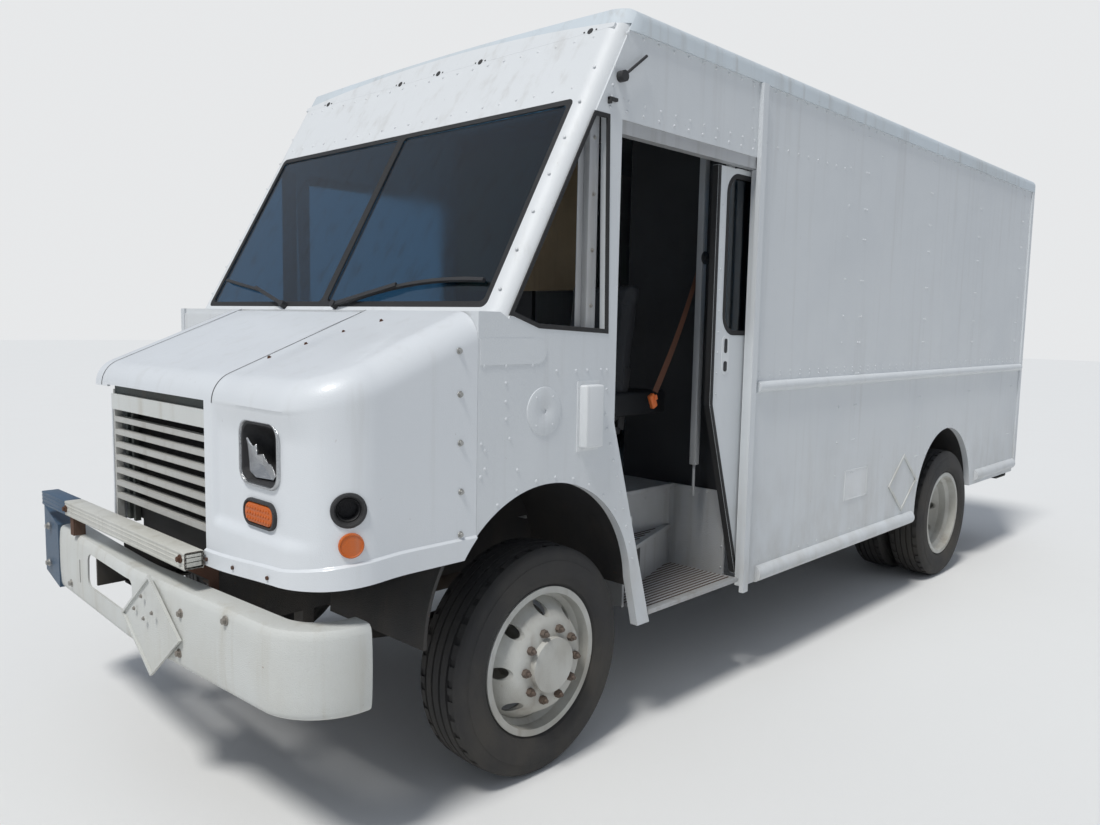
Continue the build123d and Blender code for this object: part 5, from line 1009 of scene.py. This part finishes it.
for step in range(belt_steps + 1):
    share = step / belt_steps
    sag = sin(share * pi)
    spot = belt_top.lerp(belt_end, share) + Vector((0.012 * sag, 0, -0.01 * sag))
    twist = belt_twist * share
    half = Vector((sin(twist), cos(twist) * 0.9, -0.43)).normalized() * belt_half
    webbing.append((spot - half, spot, spot + half))
skin_piece("belt_webbing", belt_web, [webbing], sharp=50, ring=False)
lean = Matrix.Rotation(radians(26), 3, "X")
block_piece("belt_buckle", buckle_orange, [((0.95, -1.468, 1.463), (0.024, 0.038, 0.07), lean)], 0.007, 3,
            sharp_slabs=[((0.963, -1.46, 1.48), (0.005, 0.02, 0.024), lean)])
turned_profile("belt_anchor", (1.02, -1.17, 2.16), (1, 0, 0), [
    (0.0005, 0.012), (0.012, 0.012), (0.014, 0.008), (0.03, 0.006), (0.032, 0.0)], black_plastic)
# The ledge takes the cab's black, with its painted shade.
block_piece("seat_ledge", cab_black_and_shade, [((0.6, -1.275, 1.424), (0.26, 0.42, 0.12))], 0.014, 3)

# Steps: bright nosings along both treads and the floor's edge, ribbed tread sheets, a dark riser
# under the upper tread and rivets round the bare end sheet.
well_run = Vector((-0.254, 0.77, 0))
riser_x, riser_y = (Vector((1.01, -1.785, 0)) + well_run / 2).xy
step_y, rib_pitch, rib_near = -1.4, 0.0255, -1.775
for side, side_name in sides:
    skew = Matrix.Rotation(side * atan2(0.254, 0.77), 3, "Z")
    block_piece("step_nosings_" + side_name, mill_alloy, [
        ((side * (riser_x - 0.001), riser_y, 0.751), (0.012, well_run.length - 0.01, 0.022), skew),
        ((side * (riser_x - 0.014), riser_y, 0.7575), (0.034, well_run.length - 0.03, 0.004), skew),
        ((side * 1.1875, step_y, 0.546), (0.012, 0.74, 0.022)),
        ((side * 1.171, step_y, 0.5525), (0.036, 0.74, 0.004)),
        ((side * 0.757, step_y, 0.974), (0.03, 0.76, 0.022))], 0.0015)
    ribs = [((side * (0.785 + rib_pitch * index), step_y, 0.5512), (0.007, 0.73, 0.0026))
            for index in range(15)]
    for index in range(9):
        x = 0.765 + rib_pitch * index
        rib_far = min(-1.03, -1.785 + (0.97 - x) / 0.254 * 0.77)
        if rib_far - rib_near > 0.04:
            ribs.append(((side * x, (rib_near + rib_far) / 2, 0.7562), (0.007, rib_far - rib_near, 0.0026)))
    block_piece("tread_ribs_" + side_name, cast_rust, ribs)
    block_piece("dark_riser_" + side_name, black_plastic, [
        ((side * (riser_x - 0.012), riser_y, 0.646), (0.004, well_run.length - 0.04, 0.17), skew)])
    end_spots = [(side * (0.79 + 0.1 * step), 0.965) for step in range(3)]
    end_spots += [(side * 1.09, 0.59 + 0.11 * step) for step in range(4)]
    floor_spots = [(-1.72 + 0.16 * step, 0.93) for step in range(5)]
    domes("well_rivets_" + side_name, on_end(-1.0295, end_spots) + on_side(side, 0.7545, floor_spots), 0.007,
          mill_alloy)

# Driver's seat: two stuffed vinyl cushions on a folded steel box, the back one leaning. Each is a
# remeshed block swollen by pressure, with its swelling capped.
seat_vinyl = weathered(
    "seat_vinyl", (0.028, 0.03, 0.034), patch=(0.5, (0.045, 0.045, 0.047)),
    streak=(0.2, (0.06, 0.058, 0.055)), speck=(0.2, (0.08, 0.075, 0.07)), low=(0.0, (0.05, 0.05, 0.05)),
    rough=0.5, grain=1.6, wave=0.1)
blow_steps = 20
swell_cap = 0.014


def stuffed(name, middle, size, lean):
    """A cushion swollen by pressure from a block whose edges are rounded, its swelling capped."""
    form = bmesh.new()
    slab(form, middle, size, lean)
    round_edges(form, min(size) * 0.3, 4)
    cushion = finish_mesh(name, form, seat_vinyl, sharp=80)
    even = cushion.modifiers.new("even", "REMESH")
    even.mode = "VOXEL"
    even.voxel_size = 0.006
    even.use_smooth_shade = True
    cushion.data = worked_mesh(cushion)
    at_rest = [vert.co.copy() for vert in cushion.data.vertices]
    stuffing = cushion.modifiers.new("stuffing", "CLOTH")
    stuffing.settings.use_pressure = True
    stuffing.settings.uniform_pressure_force = 4
    stuffing.settings.effector_weights.gravity = 0
    for step in range(1, blow_steps + 1):
        scene.frame_set(step)
    swollen = worked_mesh(cushion)
    for vert, start in zip(swollen.vertices, at_rest):
        move = vert.co - start
        if move.length > swell_cap:
            vert.co = start + move.normalized() * swell_cap
    cushion.data = swollen
    scene.frame_set(1)
    smooth = cushion.modifiers.new("smooth", "SUBSURF")
    smooth.levels = smooth.render_levels = 1


seat_x, stand_y = middle_of("driver_seat").x, -1.605
base_tilt, back_lean = (Matrix.Rotation(radians(angle), 3, "X") for angle in (3, -8.2))
stuffed("seat_base", (seat_x, -1.615, 1.375), (0.43, 0.44, 0.1), base_tilt)
stuffed("seat_back", (seat_x, -1.342, 1.735), (0.42, 0.085, 0.6), back_lean)
stand_slabs = [((seat_x, stand_y, 1.12), (0.3, 0.32, 0.3)), ((seat_x, stand_y, 1.29), (0.4, 0.42, 0.04))]
stand_slabs += [((seat_x + side * 0.19, -1.37, 1.45), (0.02, 0.05, 0.32), back_lean) for side in (-1, 1)]
seat_stand = block_piece("seat_stand", frame_black, stand_slabs, 0.006, 3,
                         sharp_slabs=[((seat_x, stand_y, 1.275), (0.04, 0.5, 0.012))])
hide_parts("driver_seat")

# Cargo side: a thin line of sealing compound beside the pillar strip on both walls, and a blank
# framed plate by the placard frame on the left one.
seams = ((2.28, 1.4), (1.03, 0.86))
block_piece("wall_seams", rubber_seal, [
    ((side * wall_x, -0.925, z), (0.002, 0.004, tall)) for side in (-1, 1) for z, tall in seams])
plate_y, plate_z = 0.3, 0.885
plate_slabs = [((1.1908, plate_y, plate_z), (0.0024, 0.3, 0.18))]
plate_slabs += [((1.1915, plate_y, plate_z + rise), (0.005, 0.31, 0.007)) for rise in (0.0885, -0.0885)]
plate_slabs += [((1.1915, plate_y + run, plate_z), (0.005, 0.007, 0.184)) for run in (-0.1525, 0.1525)]
block_piece("blank_plate", front_white, plate_slabs, 0.0008, 1)

# Rear doors: bolts on the hinge straps, a lock rod with its keepers and lever on one leaf, a grab
# bar on the other, a rubber lip between them and rivets round each panel.
door_face, strap_slope = 3.451, 0.116
rod_x, rod_radius, grab_z = 0.12, 0.011, 1.62
for side, side_name in sides:
    body = "rear_door_" + side_name
    hinge_bolts = [((side * x, door_face + 0.01 + (x - 0.9) * strap_slope, z + shift), (0, 1, 0))
                   for z in (1.15, 1.9, 2.65) for x in (0.935, 1.02) for shift in (-0.025, 0.025)]
    bolt_heads(body + "_bolts", hinge_bolts, 0.0055, bolt_zinc, body)
    leaf_spots = [(side * x, 1.03 + 0.145 * step) for x in (0.04, 1.11) for step in range(13)]
    leaf_spots += [(side * (0.14 + 0.107 * step), z) for z in (1.01, 2.785) for step in range(9)]
    domes(body + "_rivets", on_end(door_face, leaf_spots, 1), 0.007, body_white, body)
    shape = bmesh.new()
    if side < 0:
        rod = Matrix.Translation((-rod_x, door_face + 0.019, 1.895))
        cone(shape, rod, (rod_radius, rod_radius), 1.79, 20)
        lock_slabs = [((-rod_x, door_face + 0.008, z), (0.075, 0.018, 0.045)) for z in (1.04, 1.6, 2.2, 2.75)]
        lock_slabs += [((-0.2, door_face + 0.024, 1.45), (0.2, 0.012, 0.028)),
                       ((-rod_x, door_face + 0.016, 1.45), (0.06, 0.03, 0.06)),
                       ((-0.29, door_face + 0.01, 1.45), (0.03, 0.022, 0.05))]
    else:
        bar = Matrix.Translation((rod_x, door_face + 0.034, grab_z))
        cone(shape, bar, (rod_radius, rod_radius), 0.34, 20)
        lock_slabs = []
        for z in (grab_z - 0.16, grab_z + 0.16):
            lock_slabs += [((rod_x, door_face + 0.017, z), (0.03, 0.034, 0.024)),
                           ((rod_x, door_face + 0.003, z), (0.05, 0.006, 0.06))]
    for block in lock_slabs:
        slab(shape, *block)
    round_edges(shape, 0.0015, 2, [edge for edge in shape.edges if edge.calc_length() > 0.004])
    finish_mesh(body + "_lock", shape, bolt_zinc, body)
block_piece("leaf_lip", rubber_seal, [((0.009, door_face + 0.002, 1.895), (0.016, 0.004, 1.83))],
            body="rear_door_left")
frame_spots = [(side * 1.168, 0.99 + 0.12 * step) for side in (-1, 1) for step in range(17)]
frame_spots += rivet_row(-1.08, 2.93, 21, 0.108)
domes("rear_frame_rivets", on_end(3.455, frame_spots, 1), 0.007, body_white)

# Setting: a plain pale floor, a soft key light from high in front of the vehicle, a cool sky all
# round and the photographed viewpoint.
floor_shape = bmesh.new()
bmesh.ops.create_grid(floor_shape, x_segments=8, y_segments=8, size=60)
studio_floor = new_object("studio_floor", floor_shape)
studio_floor.data.materials.append(weathered(
    "pale_floor", (0.78, 0.78, 0.765), patch=(0.12, (0.74, 0.74, 0.73)), streak=(0.0, (0.5, 0.5, 0.5)),
    low=(0.0, (0.5, 0.5, 0.5)), rough=0.8, wave=0.0, grain=0.05))

world = bpy.data.worlds.new("studio_sky")
scene.world = world
world.use_nodes = True
sky_tree = world.node_tree
cool_sky = sky_tree.nodes["Background"]
cool_sky.inputs["Color"].default_value = (0.74, 0.81, 0.93, 1)
cool_sky.inputs["Strength"].default_value = 0.46
pale_back = put(sky_tree, "ShaderNodeBackground", {"Color": (0.8, 0.81, 0.82, 1), "Strength": 1.0})
seen = put(sky_tree, "ShaderNodeLightPath")
either = put(sky_tree, "ShaderNodeMixShader")
sky_tree.links.new(seen.outputs["Is Camera Ray"], either.inputs["Fac"])
sky_tree.links.new(cool_sky.outputs["Background"], either.inputs[1])
sky_tree.links.new(pale_back.outputs["Background"], either.inputs[2])
sky_tree.links.new(either.outputs["Shader"], sky_tree.nodes["World Output"].inputs["Surface"])

key_data = bpy.data.lights.new("key", "SUN")
key_data.energy = 2.35
key_data.angle = radians(12)
key_data.color = (1.0, 0.985, 0.96)
key = bpy.data.objects.new("key", key_data)
scene.collection.objects.link(key)
key.rotation_euler = Vector((-0.1, 0.47, -0.87)).to_track_quat("-Z", "Y").to_euler()

eye = (3.5105, -4.8749, 1.833)
yaw, pitch, roll = -0.760143854, 0.102501103, -0.0197149304
forward = Vector((sin(yaw) * cos(pitch), cos(yaw) * cos(pitch), -sin(pitch)))
level = Vector((cos(yaw), -sin(yaw), 0))
down = forward.cross(level)
right = cos(roll) * level + sin(roll) * down
downward = -sin(roll) * level + cos(roll) * down
camera_data = bpy.data.cameras.new("photo_camera")
camera_data.sensor_width = 36
camera_data.lens = 28.885
camera = bpy.data.objects.new("photo_camera", camera_data)
scene.collection.objects.link(camera)
camera.matrix_world = Matrix.Translation(eye) @ Matrix((right, -downward, -forward)).transposed().to_4x4()
scene.camera = camera
scene.view_settings.view_transform = "Standard"
